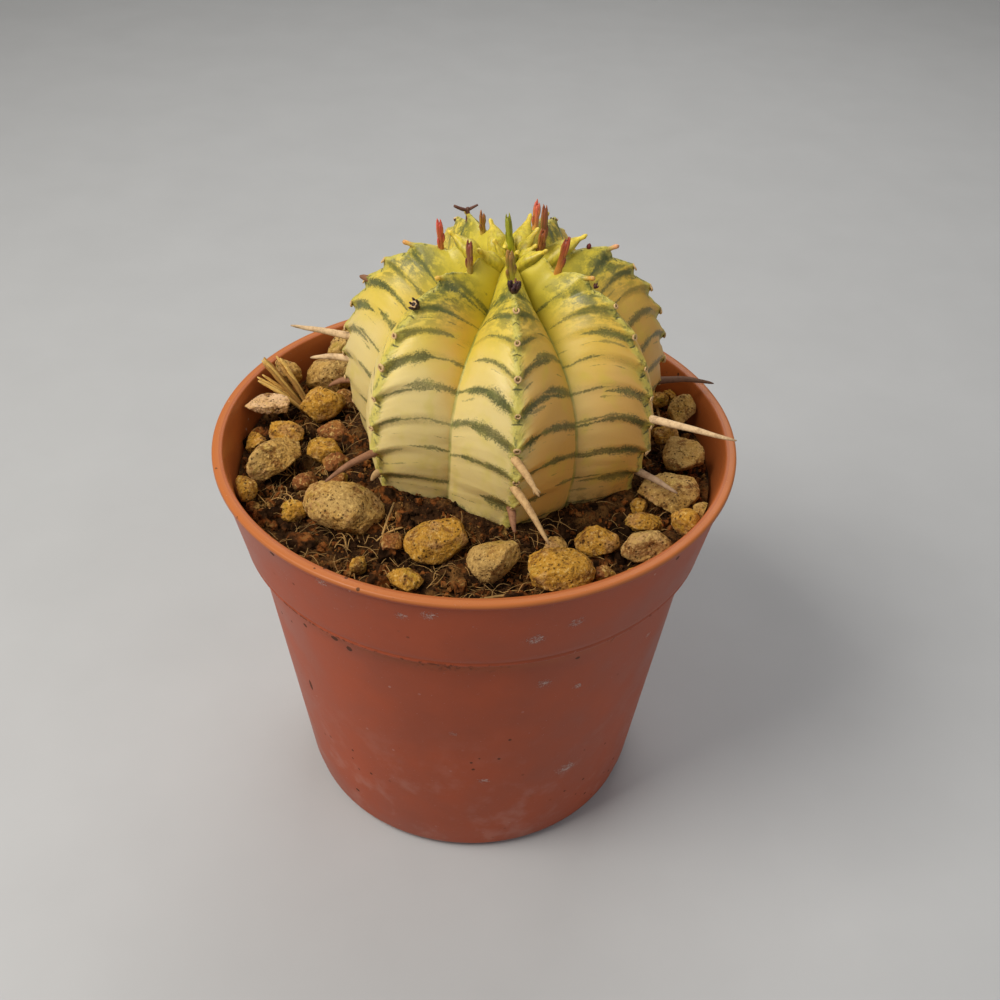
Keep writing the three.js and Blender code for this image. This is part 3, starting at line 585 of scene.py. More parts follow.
# spurge body
spurge = {
    "axis": (3.2, 3.0), "waist": 54.0, "base": 43.6, "crown": 70.7, "crownDish": 12.0, "crownMeet": 6.0,
    "ridge": (18.65, 72.6, 2.35, (0.128, 1.36)), "groove": (15.3, 67.0, 2.2, (0.011, 2.2)),
    "ridgeArc": 41.0, "flankLag": 3.2, "flankArch": 0.14, "flankPower": 1.3, "tubercle": 0.42,
    "youngTubercle": 0.95, "perRib": 9, "young": 2, "undercut": 0.3, "rows": 20,
    "creaseAt": 0.31, "creaseLean": 2.4, "middle": 56.0, "grooveTurn": 25,
    # relief on each ridge: its height, then how wide along the ridge and towards the groove
    "tip": (0.25, 0.11, 0.085), "crease": (0.15, 0.035, 0.13), "crestRise": (0.1, 0.05),
    "flank": (0, 0.025, 0.06, 0.11, 0.17, 0.25, 0.34, 0.45, 0.56, 0.67, 0.77, 0.86, 0.93, 0.975, 1),
    "rootRings": ((40.5, 0.9), (35.0, 0.6), (29.0, 0.28)), "rootTip": 25.0,
    "cream": (0.74, 0.60, 0.25), "yellow": (0.70, 0.54, 0.085), "youngGreen": (0.62, 0.53, 0.05),
    # paintedShade: warm orange painted on the flanks facing away from the key light, as painted shade
    "paintedShade": (0.70, 0.33, 0.035), "stripe": (0.058, 0.080, 0.028), "stripeOlive": (0.13, 0.155, 0.035),
    "stripeFleck": (0.26, 0.28, 0.10),
    "crest": (0.56, 0.50, 0.10), "grooveLine": (0.24, 0.27, 0.04), "cork": (0.42, 0.17, 0.05),
    "dark": (0.035, 0.045, 0.02), "dust": (0.10, 0.055, 0.02),
}
axis = np.array(spurge["axis"])
# each rib: bearing, swing of its foot, arc of the oldest leaf, closing up of the tubercles
ribs = {
    "front": (-85.5, -4.5, 8.3, 1.08), "rightFront": (-33.0, 1.5, 9.6, 0.93),
    "right": (13.2, 0.0, 11.2, 0.95), "rightBack": (66.0, 0.0, 9.4, 1.0), "back": (118.0, 0.0, 9.8, 1.0),
    "left": (171.0, 0.0, 10.7, 0.96), "leftFront": (222.7, -4.5, 9.3, 0.95),
}
ribList = list(ribs.values())


def axisAt(z):
    return np.array([*axis, z])


def bodyCurve(radius, top, power, taper, reach):
    # arc length, radius and height down a ridge or a groove, from the crown to the base
    waist = spurge["waist"]
    turn = np.linspace(90, 0, 161) * degree
    r = radius * np.cos(turn).clip(0) ** (2 / power)
    z = waist + (top - waist) * np.sin(turn) ** (2 / power)
    z = z + (spurge["crown"] - top) * np.where(r < reach, (1 - (r / reach) ** 2) ** 2, 0)
    r[0] = 0
    low = np.linspace(waist, spurge["base"], 41)[1:]
    r = np.append(r, radius - taper[0] * (waist - low) ** taper[1])
    z = np.append(z, low)
    return np.append(0, np.cumsum(np.hypot(np.diff(r), np.diff(z)))), r, z


def alongCurve(curve, share):
    # radius and height there, and how far the skin faces outward and up
    arcs, r, z = curve
    arc = clamp01(share) * arcs[-1]
    near, far = np.clip(arc - 0.3, 0, arcs[-1]), np.clip(arc + 0.3, 0, arcs[-1])
    dr = np.interp(far, arcs, r) - np.interp(near, arcs, r)
    dz = np.interp(far, arcs, z) - np.interp(near, arcs, z)
    step = np.hypot(dr, dz)
    return np.interp(arc, arcs, r), np.interp(arc, arcs, z), -dz / step, dr / step


ridgeCurve = bodyCurve(*spurge["ridge"], spurge["crownDish"])
grooveCurve = bodyCurve(*spurge["groove"], spurge["crownMeet"])


def tubercleArc(rib, count):
    first, closing = rib[2], rib[3]
    young = first * (1 + np.minimum(count, 0) / spurge["young"])
    older = (spurge["ridgeArc"] - first) * (np.maximum(count, 0) / spurge["perRib"]) ** closing
    return young + older


def tubercleStep(q):
    # rises slowly to each tip and drops quickly below it
    undercut = spurge["undercut"]
    falling = mix(1, -0.55, smoothStep(-0.12, undercut, q))
    rising = mix(-0.55, 1, clamp01((q - undercut) / (1 - undercut)) ** 0.9)
    return np.where(q < undercut, falling, rising)


def ribBearing(rib, z):
    low = np.maximum(0, (spurge["waist"] - z) / (spurge["waist"] - spurge["base"] - 1.5))
    return rib[0] + rib[1] * low * low


def bell(x, width):
    return np.exp(-((x / width) ** 2))


def skinPoints(index, side, toGroove, count):
    rib, neighbour = ribList[index], ribList[(index + side) % len(ribList)]
    ownArc = tubercleArc(rib, count)
    share = mix(ownArc, (ownArc + tubercleArc(neighbour, count)) / 2, toGroove) / spurge["ridgeArc"]
    lag = spurge["flankLag"] / spurge["ridgeArc"] * np.sin(math.pi * share) * smoothStep(0.12, 0.5, share)
    share = share - lag * (1 - (1 - toGroove) ** 3 + spurge["flankArch"] * math.sin(math.pi * toGroove))
    ridgeR, ridgeZ, outward, up = alongCurve(ridgeCurve, share)
    grooveR, grooveZ, _, _ = alongCurve(grooveCurve, share)
    towardsRidge = 1 - toGroove ** spurge["flankPower"]
    r, z = mix(grooveR, ridgeR, towardsRidge), mix(grooveZ, ridgeZ, towardsRidge)
    # the tubercles, with a small tip, a crease below it and a slightly raised crest
    height = mix(spurge["tubercle"], spurge["youngTubercle"], 1 - smoothStep(-1.2, 1, count))
    fade = smoothStep(0.5, 3, share * spurge["ridgeArc"]) * smoothStep(44.5, 47, z)
    spread = 0.55 * (1 - toGroove) ** 0.8 + 0.45 * bell(toGroove, 0.18)
    q = count - np.floor(count + 1e-6)
    (tip, tipLong, tipWide), (crease, creaseLong, creaseWide) = spurge["tip"], spurge["crease"]
    relief = tip * (bell(np.minimum(q, 1 - q), tipLong) * bell(toGroove, tipWide))
    creaseOff = q - spurge["creaseAt"] - spurge["creaseLean"] * toGroove
    relief = relief - crease * (bell(creaseOff, creaseLong) * bell(toGroove, creaseWide))
    relief = relief + spurge["crestRise"][0] * bell(toGroove, spurge["crestRise"][1])
    swell = tubercleStep(q) * height * fade * spread + fade * smoothStep(-0.5, 1, count) * relief
    away = ribBearing(neighbour, z) - ribBearing(rib, z)
    away = away - 360 * np.round((away - side * 50) / 360)
    bearing = (ribBearing(rib, z) + away / 2 * toGroove) * degree
    reach = np.maximum(0, r + swell * outward)
    x, y = axis[0] + reach * np.cos(bearing), axis[1] + reach * np.sin(bearing)
    return np.stack([x, y, z + swell * up], -1)


def ringColumns():
    # columns of the skin: rib, side and share of the way to the groove; strips between them: flank and shares
    flank, columns, strips = spurge["flank"], [], []
    pairs = list(zip(flank[:-1], flank[1:]))
    for index in range(len(ribList)):
        after = (index + 1) % len(ribList)
        columns += [(index, 1, t) for t in flank[:-1]] + [(after, -1, t) for t in reversed(flank[1:])]
        strips += [(2 * index, a, b) for a, b in pairs] + [(2 * after + 1, b, a) for a, b in reversed(pairs)]
    return columns, strips


def buildSkin(material):
    columns, strips = ringColumns()
    perRib, perStep = spurge["perRib"], spurge["rows"]
    counts = np.arange(-spurge["young"] * perStep + 1, perRib * perStep + 1) / perStep
    grid = np.stack([skinPoints(i, s, t, counts) for i, s, t in columns], 1)
    rows, wide = grid.shape[:2]
    points = grid.reshape(-1, 3)
    base = points[-wide:]
    towardsRidge = np.tile([1 - t for _, _, t in columns], rows)
    rough = 0.10 * bumpy(points, 0.45, 1) + 0.03 * bumpy(points, 1.5, 2)
    rough = rough + 0.10 * towardsRidge ** 8 * bumpy(points, 2.2, 3)
    fade = smoothStep(-1.5, 0, np.repeat(counts, wide))
    points = points + unit(points - axisAt(spurge["middle"])) * (rough * fade)[:, None]
    rootRings = [np.column_stack([axis + (base[:, :2] - axis) * scale, np.full(wide, z)])
                 for z, scale in spurge["rootRings"]]
    points = np.vstack([points] + rootRings + [axisAt(spurge["crown"]), axisAt(spurge["rootTip"])])
    allRows = rows + len(rootRings)
    faces = [(a, d, c, b) for a, b, c, d in ringFaces(allRows, wide)]
    # each corner: its flank, its share of the way to the groove and its count of tubercles
    corners = []
    counts = [*counts, *[perRib + 0.5] * len(rootRings)]
    for top, bottom in zip(counts[:-1], counts[1:]):
        for flank, a, b in strips:
            corners += [(flank, a, top), (flank, a, bottom), (flank, b, bottom), (flank, b, top)]
    last, apex = (allRows - 1) * wide, allRows * wide
    for j, (flank, a, b) in enumerate(strips):
        after = (j + 1) % wide
        faces += [(apex, j, after), (last + j, apex + 1, last + after)]
        corners += [(flank, 0.5, -2), (flank, a, -1.95), (flank, b, -1.95)]
        corners += [(flank, a, perRib + 0.5), (flank, 0.5, perRib + 0.5), (flank, b, perRib + 0.5)]
    mesh = bpy.data.meshes.new("spurgeBody")
    mesh.from_pydata([tuple(p) for p in points * mm], [], faces)
    mesh.polygons.foreach_set("use_smooth", [True] * len(faces))
    addLayer(mesh, "skinPlace", corners, "FLOAT_VECTOR", "CORNER")
    mesh.update()
    return showMesh(mesh, material)


def spurgeSkin():
    paint = Paint("variegatedSkin")
    flank, toGroove, count = split(paint.attribute("skinPlace", "Vector"))
    flankStep = flank * 7.31

    def flow(along, down, shift=0.0):
        # a pattern that runs along the flank and down the rib, different on each flank
        return combine(flankStep + shift, toGroove * along, count * down)

    x, _, z = split(paint.place)
    cloud = paint.noise(170)
    creamy = (count.ease(0.5, 6.5) * 0.75 + cloud * 0.55).ease(0.35, 0.85)
    # painted shade: the flanks facing +x and the right side, away from the key light, get a warm orange, less
    # towards the top
    facing = split(addNode(paint.tree, "ShaderNodeTexCoord", take="Normal"))[0]
    paintedShadeSide = maths("MAXIMUM", facing.ease(0.05, 0.6), x.easeMm(6, 18)) * z.easeMm(73, 60, 0.3, 1)
    pale = paint.noise(1.3, 2, place=flow(2.5, 0.9, 3.1)).ease(0.5, 0.75, 0, 0.35)
    nearGroove = toGroove.ease(0.72, 1.0) * count.ease(5.5, 1.5)
    colour = layered(blend(creamy, spurge["yellow"], spurge["cream"]), (paintedShadeSide * 0.72, spurge["paintedShade"]),
                     (pale, spurge["youngGreen"]), (count.ease(1.6, -0.6) * 0.9, spurge["youngGreen"]),
                     (nearGroove * 0.5, spurge["youngGreen"]))

    # stripes: bands from the scar towards the groove, each of its own width, place, strength and reach
    wave = paint.noise(1.0, 1, place=flow(1.7, 0.9)) - 0.5
    ragged = paint.noise(1.6, 2, 0.5, place=flow(6, 5)) - 0.5
    drift = wave * 0.22 + ragged * 0.09
    mottle = paint.noise(5600, 3, 0.7).ease(0.34, 0.66)

    def bands(part, centre, scatter, thin, wide, share, shift):
        run = count + (drift - centre)
        number = maths("FLOOR", run + 0.5)
        chance = addNode(paint.tree, "ShaderNodeTexWhiteNoise", {"Vector": combine(flank, number, shift)},
                         "Color", noise_dimensions="3D")
        first, second, third = split(chance, "Color")
        off = maths("ABSOLUTE", run - number - (first - 0.5) * scatter)
        swell = paint.noise(1.3, 2, place=combine(flankStep + shift, toGroove * 3.2, number * 3.7))
        width = second.ease(0.15, 0.95, thin, wide) * swell.ease(0.30, 0.66, 0.5, 1.15)
        if part == "ridge":
            width = width * toGroove.ease(0.95, 0.15, 0.3, 1)
            window = third * 0.85 + 0.34 - toGroove
        elif part == "groove":
            window = toGroove - (0.62 - third * 0.55)
        else:
            window = swell - 0.48
        # each band narrows to a point where it ends
        width = width * window.ease(-0.02, 0.22)
        chosen = maths("FRACT", first * 7.3).ease(0.95 - share, 1.15 - share)
        soft = maths("DIVIDE", width - off, width * 0.85 + 0.02, clamp=True)
        return maths("SUBTRACT", soft * 2.3, mottle * 1.25, clamp=True) * chosen

    ridgeBand = bands("ridge", 0.13, 0.16, 0.15, 0.36, 0.96, 0.0)
    grooveBand = bands("groove", 0.03, 0.24, 0.08, 0.24, 0.90, 2.7)
    lineBand = bands("line", 0.47, 0.34, 0.03, 0.11, 0.85, 4.3)
    band = maths("MAXIMUM", maths("MAXIMUM", ridgeBand, grooveBand * 0.92), lineBand * 0.7)
    band = band * count.ease(-1.1, -0.2)
    olive = paint.noise(1.5, 3, place=flow(3, 2, 8.0)).ease(0.46, 0.70)
    tone = layered(blend(olive, spurge["stripe"], spurge["stripeOlive"]),
                   (mottle.ease(0.40, 0.95, 0, 0.5), spurge["stripeFleck"]))
    # a darker cast spreads from the top of each rib over its first tubercles
    patchy = paint.noise(620, 5, 0.8) * 0.6 + paint.noise(1.8, 2, place=flow(3.2, 2.6, 1.7)) * 0.4
    topGreen = count.ease(3.0, 0.4) * toGroove.ease(0.95, 0.25) * patchy.ease(0.42, 0.56)
    topGreen = topGreen * count.ease(-0.9, 0.1)
    topTone = blend(mottle.ease(0.4, 0.6), spurge["stripeOlive"], spurge["stripe"])

    # crest of the rib, groove line, creases, corky specks and soil dust at the foot
    warty = paint.noise(1300, 4, 0.7)
    crest = (toGroove + ragged * 0.12).ease(0.12, 0.03)
    crestTone = blend(warty.ease(0.50, 0.64), spurge["crest"], spurge["stripeOlive"])
    line = toGroove.ease(0.962, 0.99) * paint.noise(400).ease(0.30, 0.6, 0.25, 1)
    creaseOff = maths("FRACT", count) - spurge["creaseAt"] - toGroove * spurge["creaseLean"]
    crease = maths("ABSOLUTE", creaseOff).ease(0.035, 0.012) * toGroove.ease(0.09, 0.045)
    crease = crease * count.ease(0.2, 0.4)
    speck = paint.specks(260, 0.075, 0, 0.72)
    dusty = z.easeMm(49.5, 46.5) * paint.noise(800, 4, 0.7).ease(0.45, 0.65)
    colour = layered(colour, (band * cloud.ease(0.35, 0.62, 0.96, 0.80), tone), (topGreen * 0.85, topTone),
                     (crest * 0.8, crestTone), (line * 0.65, spurge["grooveLine"]),
                     (crease * 0.75, spurge["dark"]), (speck * 0.8, spurge["cork"]),
                     (dusty * 0.6, spurge["dust"]))
    pores = bump(paint.noise(2600, 2), 0.03, 0.45)
    warts = bump(warty * crest, 0.16, 0.8, pores)
    return paint.finish(colour, cloud.ease(0.3, 0.7, 0.36, 0.48), bump(speck - crease, 0.07, 0.6, warts),
                        specular=0.42, subsurface=(0.12, 1.2, (1.0, 0.8, 0.25)))


spurgeBody = buildSkin(spurgeSkin())
settle(spurgeBody, "spurge_skin", "spurge")
print("spurge body grown:", len(spurgeBody.data.polygons), "faces")


# stalks, leaves and young tubercles
def ridgeFrame(name, arc):
    # the place on a ridge: its foot there, and the ways outward, sideways and off the skin
    rib = ribs[name]
    r, z, outward, up = (float(v) for v in alongCurve(ridgeCurve, arc / spurge["ridgeArc"]))
    bearing = float(ribBearing(rib, z)) * degree
    out = np.array([math.cos(bearing), math.sin(bearing), 0])
    return {"foot": axisAt(0) + r * out + upBy(z), "out": out, "side": np.array([-out[1], out[0], 0]),
            "normal": outward * out + upBy(up)}


def offset(place, sideways, outward, up):
    return place["foot"] + sideways * place["side"] + outward * place["out"] + upBy(up)


def curveThrough(points, steps):
    # smooth line through a few points
    points = [np.asarray(p, float) for p in points]
    padded = [2 * points[0] - points[1]] + points + [2 * points[-1] - points[-2]]
    line = []
    for i in range(1, len(padded) - 2):
        a, b, c, d = padded[i - 1:i + 3]
        for f in np.linspace(0, 1, steps, endpoint=i == len(padded) - 3):
            line.append(0.5 * (2 * b + (c - a) * f + (2 * a - 5 * b + 4 * c - d) * f * f
                               + (3 * b - a - 3 * c + d) * f ** 3))
    return np.array(line)


def tapered(line, size, *stops):
    # radii along a line: the size by shares given at places between 0 and 1
    at, shares = zip(*stops)
    return size * np.interp(np.linspace(0, 1, len(line)), at, shares)


liveStalks = {
    "radius": 0.43, "sides": 14, "sunk": 1.35, "toothLength": 0.55, "toothRadius": 0.24, "toothSides": 8,
    # each scale: where it starts along the stem, and how many tooth lengths it stands above the top
    "scales": ((0.55, 1.0), (0.6, 0.75), (0.66, 0.5), (0.3, -1), (0.42, -1)),
    # rib, arc, height, outward lean, side lean, thickness, foot colour, tip colour
    "rows": (
        ("front", 5.4, 3.3, 0.3, -0.4, 1.2, (0.46, 0.46, 0.03), (0.42, 0.22, 0.05)),
        ("leftFront", 5.5, 3.3, 0.1, 0.0, 0.9, (0.42, 0.30, 0.05), (0.30, 0.075, 0.045)),
        ("left", 7.4, 3.1, 0.4, -0.2, 0.9, (0.62, 0.24, 0.05), (0.80, 0.12, 0.08)),
        ("rightFront", 6.0, 4.0, 1.1, 0.1, 1.0, (0.62, 0.27, 0.05), (0.40, 0.075, 0.035)),
        ("right", 3.7, 5.3, 0.1, 0.3, 0.9, (0.34, 0.24, 0.05), (0.38, 0.11, 0.04)),
        ("right", 3.3, 3.1, 0.2, -0.7, 0.95, (0.38, 0.22, 0.05), (0.40, 0.12, 0.04)),
        ("back", 6.2, 2.1, 0.3, 0.1, 0.9, (0.46, 0.34, 0.05), (0.44, 0.17, 0.05)),
        ("rightBack", 6.8, 2.9, 0.9, 0.2, 1.0, (0.62, 0.36, 0.06), (0.80, 0.16, 0.09)),
        ("right", 0.4, 4.8, -0.6, 0.1, 0.85, (0.44, 0.47, 0.02), (0.34, 0.36, 0.02)),
    ),
}
leaves = {
    # rib, length and colour of the tip
    "rows": (("front", 0.6, (0.34, 0.16, 0.07)), ("rightFront", 1.7, (0.80, 0.42, 0.08)),
             ("right", 1.8, (0.82, 0.40, 0.20)), ("rightBack", 1.7, (0.80, 0.58, 0.07)),
             ("back", 1.6, (0.78, 0.58, 0.07)), ("left", 1.7, (0.84, 0.42, 0.12)),
             ("leftFront", 1.5, (0.82, 0.52, 0.07))),
    "radius": 0.29, "sides": 12, "rise": 14.0, "lift": 0.12, "sunk": 0.9, "foot": (0.44, 0.42, 0.06),
}
youngTubercles = {
    # keeled wedges round the crown: bearing, reach of foot and of leaf tip, height of the tip, half width
    "rows": (
        (13.2, 4.4, 8.6, 72.4, 1.25), (-33.0, 1.5, 4.8, 72.7, 1.15), (222.7, 1.5, 4.5, 72.8, 1.15),
        (171.0, 3.2, 6.7, 72.8, 1.3), (118.0, 1.7, 4.7, 72.9, 1.25), (66.0, 2.2, 5.6, 73.2, 1.25),
        (40.0, 1.3, 4.1, 72.7, 0.85), (4.0, 1.2, 3.0, 71.9, 0.75), (165.0, 0.4, 1.8, 72.3, 0.65),
        (235.0, -0.1, 0.9, 72.2, 0.55), (-60.0, 0.6, 1.9, 72.0, 0.6), (92.0, 0.6, 2.2, 72.6, 0.7),
    ),
    # along each wedge: share of its reach, share of its rise, width and depth as shares of the half width
    "stops": ((-0.03, -0.75, 1.0, 0.85), (0.28, 0.05, 1.06, 0.85), (0.52, 0.36, 0.78, 0.62),
              (0.70, 0.62, 0.42, 0.36)),
    # along the leaf: the same, with width and depth as shares of the leaf's radius
    "leafStops": ((0.82, 0.78, 1.05, 0.95), (0.93, 0.93, 0.95, 0.9), (1, 1, 0.3, 0.3)),
    "leafRadius": 0.27, "keelSharpness": 0.6, "around": 18, "steps": 5, "uneven": 0.05, "seed": 9,
    "foot": (0.64, 0.54, 0.05), "tip": (0.86, 0.68, 0.08), "keel": (0.15, 0.18, 0.03),
}


def buildTinted(name, paths, tints, material, wrinkle):
    # tubes coloured from foot to tip, with a little unevenness
    points, faces, along, owner = tubeMesh(paths)
    centre = np.array([np.asarray(p[0]).mean(0) for p in paths])[owner]
    points = points + unit(points - centre) * (wrinkle * bumpy(points, 2.6, 9, 2))[:, None]
    mesh = meshOf(name, points, faces)
    foot, tip = (np.array([t[end] for t in tints])[owner] for end in (0, 1))
    share = smoothStep(0.15, 0.9, along)[:, None]
    addTint(mesh, foot * (1 - share) + tip * share)
    addLayer(mesh, "along", along)
    return showMesh(mesh, material)


def fleshy(name, keel=None):
    paint = Paint(name)
    fine = paint.noise(2600, 3, 0.6, place=paint.stretched(0.3))
    colour = blend(fine.ease(0.35, 0.7, 0, 0.35), paint.attribute("tint", "Color"), (0.06, 0.03, 0.012),
                   "MULTIPLY")
    if keel:
        patch = paint.noise(620, 3, 0.6).ease(0.38, 0.60, 0, 0.85)
        colour = blend(patch * paint.attribute("keel"), colour, keel)
    return paint.finish(colour, 0.42, bump(fine, 0.06, 0.6), subsurface=(0.15, 0.6, (1.0, 0.6, 0.2)))


def buildLiveStalks(material):
    # a stem with upright scales pressed to it, the last three standing free as teeth
    paths, tints = [], []
    for name, arc, height, lean, side, thick, foot, tip in liveStalks["rows"]:
        place = ridgeFrame(name, arc)
        radius, tooth = liveStalks["radius"] * thick, liveStalks["toothLength"]
        top, start = offset(place, side, lean, height - tooth), offset(place, 0, 0, -liveStalks["sunk"])
        line = start + np.linspace(0, 1, 15)[:, None] * (top - start)
        sizes = tapered(line, radius, (0, 1.15), (0.35, 0.95), (0.7, 0.88), (0.93, 0.9), (1, 0.6))
        paths.append((line, sizes, liveStalks["sides"], 0.9))
        tints.append((foot, tip))
        for k, (at, beyond) in enumerate(liveStalks["scales"]):
            turn = 2.1 * k + arc
            away = math.cos(turn) * place["out"] + math.sin(turn) * place["side"]
            low = mix(start, top, at) + away * radius * 0.55
            high = top + unit(top - start) * tooth * beyond + away * radius * 0.5
            if beyond < 0:
                high = mix(start, top, at + 0.3) + away * radius
            scale = curveThrough([low, mix(low, high, 0.4) + away * 0.07, mix(low, high, 0.75) + away * 0.04,
                                  high], 4)
            sizes = tapered(scale, liveStalks["toothRadius"] * thick, (0, 0.7), (0.3, 1.0), (0.65, 0.95),
                            (0.88, 0.6), (1, 0.22))
            paths.append((scale, sizes, liveStalks["toothSides"], 0.75))
            tints.append((mix(np.array(foot), np.array(tip), 0.5), np.array(tip) * (1.1 - 0.12 * k)))
    return buildTinted("liveStalks", paths, tints, material, 0.02)


def buildLeaves(material):
    paths, tints = [], []
    out, up = math.cos(leaves["rise"] * degree), math.sin(leaves["rise"] * degree)
    lift, sunk = leaves["lift"], leaves["sunk"]
    for name, length, tip in leaves["rows"]:
        place = ridgeFrame(name, float(tubercleArc(ribs[name], np.array(0.0))) - 0.5)
        stops = [offset(place, 0, length * far * out, lift + length * high * up)
                 for far, high in ((0.3, 0.25), (0.7, 0.75), (1, 1))]
        line = curveThrough([offset(place, 0, -sunk * out, lift - sunk * up)] + stops, 5)
        sizes = tapered(line, leaves["radius"], (0, 1.5), (0.33, 1.2), (0.55, 0.85), (0.8, 1.0), (0.95, 0.85),
                        (1, 0.4))
        paths.append((line, sizes, leaves["sides"], 0.9))
        tints.append((leaves["foot"], tip))
    return buildTinted("fingerLeaves", paths, tints, material, 0.02)


def keeledPush(turn, sharp):
    # how far a wedge reaches below its middle line: a keel there and a rounded back
    down = math.cos(turn)
    return 1.15 * mix(down, 1 - abs(math.sin(turn)), sharp) if down > 0 else 0.85 * down


def buildYoungTubercles(material):
    # each wedge leans outward with a keel below and ends in its own finger leaf
    points, faces, along, keel = [], [], [], []
    around = youngTubercles["around"]
    for bearing, start, tip, top, wide in youngTubercles["rows"]:
        out = np.array([math.cos(bearing * degree), math.sin(bearing * degree), 0])
        side = np.array([-out[1], out[0], 0])
        stops = [(mix(start, tip, reach), mix(spurge["crown"], top, rise), size * width, size * depth)
                 for size, rows in ((wide, youngTubercles["stops"]),
                                    (youngTubercles["leafRadius"], youngTubercles["leafStops"]))
                 for reach, rise, width, depth in rows]
        track = curveThrough(stops, youngTubercles["steps"])
        faces += tubeFaces(len(track), around, len(points))
        for i, (reach, height, width, depth) in enumerate(track):
            share = i / (len(track) - 1)
            ahead = aheadAt(track, i)
            heading = (ahead[0] * out + upBy(ahead[1])) / math.hypot(ahead[0], ahead[1])
            below = np.cross(side, heading)
            below = below if below @ out > 0 else -below
            sharp = float(youngTubercles["keelSharpness"] * (1 - smoothStep(0.62, 0.8, share)))
            for k in range(around):
                turn = fullTurn * k / around
                points.append(axisAt(0) + reach * out + upBy(height) + width * math.sin(turn) * side
                              + depth * keeledPush(turn, sharp) * below)
                keel.append(max(0, math.cos(turn)) ** 2)
            along += [share] * around
    points, along = np.array(points), np.array(along)
    # without a seed this noise starts from the clock
    noise.seed_set(youngTubercles["seed"])
    bumps = np.array([noise.noise_vector(Vector(p) * 1.4) for p in points])
    mesh = meshOf("youngTubercles", points + youngTubercles["uneven"] * bumps, faces)
    foot, tip = np.array(youngTubercles["foot"]), np.array(youngTubercles["tip"])
    addTint(mesh, mix(foot, tip, smoothStep(0.2, 0.8, along)[:, None]))
    addLayer(mesh, "keel", np.array(keel) * (1 - smoothStep(0.7, 0.85, along)))
    faceOutwards(mesh)
    return showMesh(mesh, material)


dryStalks = {
    "radius": 0.5, "middleRadius": 0.36, "tipRadius": 0.12, "sides": 12, "sunk": 0.9,
    "tan": (0.62, 0.40, 0.18), "pale": (0.76, 0.55, 0.32), "brown": (0.32, 0.15, 0.075),
    "grey": (0.40, 0.27, 0.17), "dark": (0.18, 0.085, 0.045),
    # old flower stalks left on the ribs: rib, arc, reach sideways, outward and up, colour
    "rows": (
        ("front", 27.3, 2.1, 4.2, -1.2, "tan"), ("front", 31.0, 3.2, 6.0, -2.4, "tan"),
        ("front", 34.3, 0.3, 2.6, -1.0, "brown"), ("leftFront", 30.9, 0.0, 6.8, -0.7, "brown"),
        ("leftFront", 34.0, 0.1, 1.5, -0.6, "tan"), ("left", 17.4, 0.0, 1.2, 0.3, "brown"),
        ("left", 25.7, 0.0, 6.9, 0.5, "pale"), ("left", 28.8, 0.0, 4.6, -0.5, "pale"),
        ("left", 31.8, 0.2, 2.8, -1.1, "brown"), ("rightFront", 27.0, 0.0, 10.2, 1.3, "pale"),
        ("rightFront", 34.6, -1.3, 5.9, 0.2, "grey"), ("right", 31.4, 0.0, 7.4, -1.1, "dark"),
        ("back", 21.5, 0.2, 1.3, 0.3, "tan"), ("back", 29.5, 0.8, 5.2, 0.4, "tan"),
        ("rightBack", 26.8, -0.6, 4.4, -0.3, "pale"), ("rightBack", 33.4, 0.7, 3.0, -0.6, "brown"),
    ),
    "frayed": (0, 6), "forkArc": 10.3, "forkColour": (0.15, 0.06, 0.045),
    # stem and arms of the fork: points across, outward and up from the rib, then radii
    "fork": (
        (((0, 0, -1.0), (0, 0.05, 0.6), (0, 0.1, 1.4)), (0.36, 0.30, 0.26)),
        (((0, 0.1, 1.1), (0.7, 0.12, 1.35), (1.6, 0.2, 1.85)), (0.22, 0.26, 0.2)),
        (((0, 0.1, 1.1), (-0.6, 0.12, 1.3), (-1.3, 0.2, 1.45)), (0.22, 0.20, 0.14)),
    ),
}


def dryWood(name, dark):
    paint = Paint(name)
    fine = paint.noise(2100, 5, 0.7)
    colour = blend(fine.ease(0.42, 0.68, 0.0, dark), paint.attribute("tint", "Color"), (0.30, 0.16, 0.07),
                   "MULTIPLY")
    colour = layered(colour, (paint.noise(700, 3, 0.6).ease(0.54, 0.70, 0, dark), (0.14, 0.06, 0.025)),
                     (paint.attribute("along").ease(0.86, 1.0, 0, dark), (0.12, 0.055, 0.025)))
    return paint.finish(colour, 0.72, bump(fine, 0.10, 0.8))


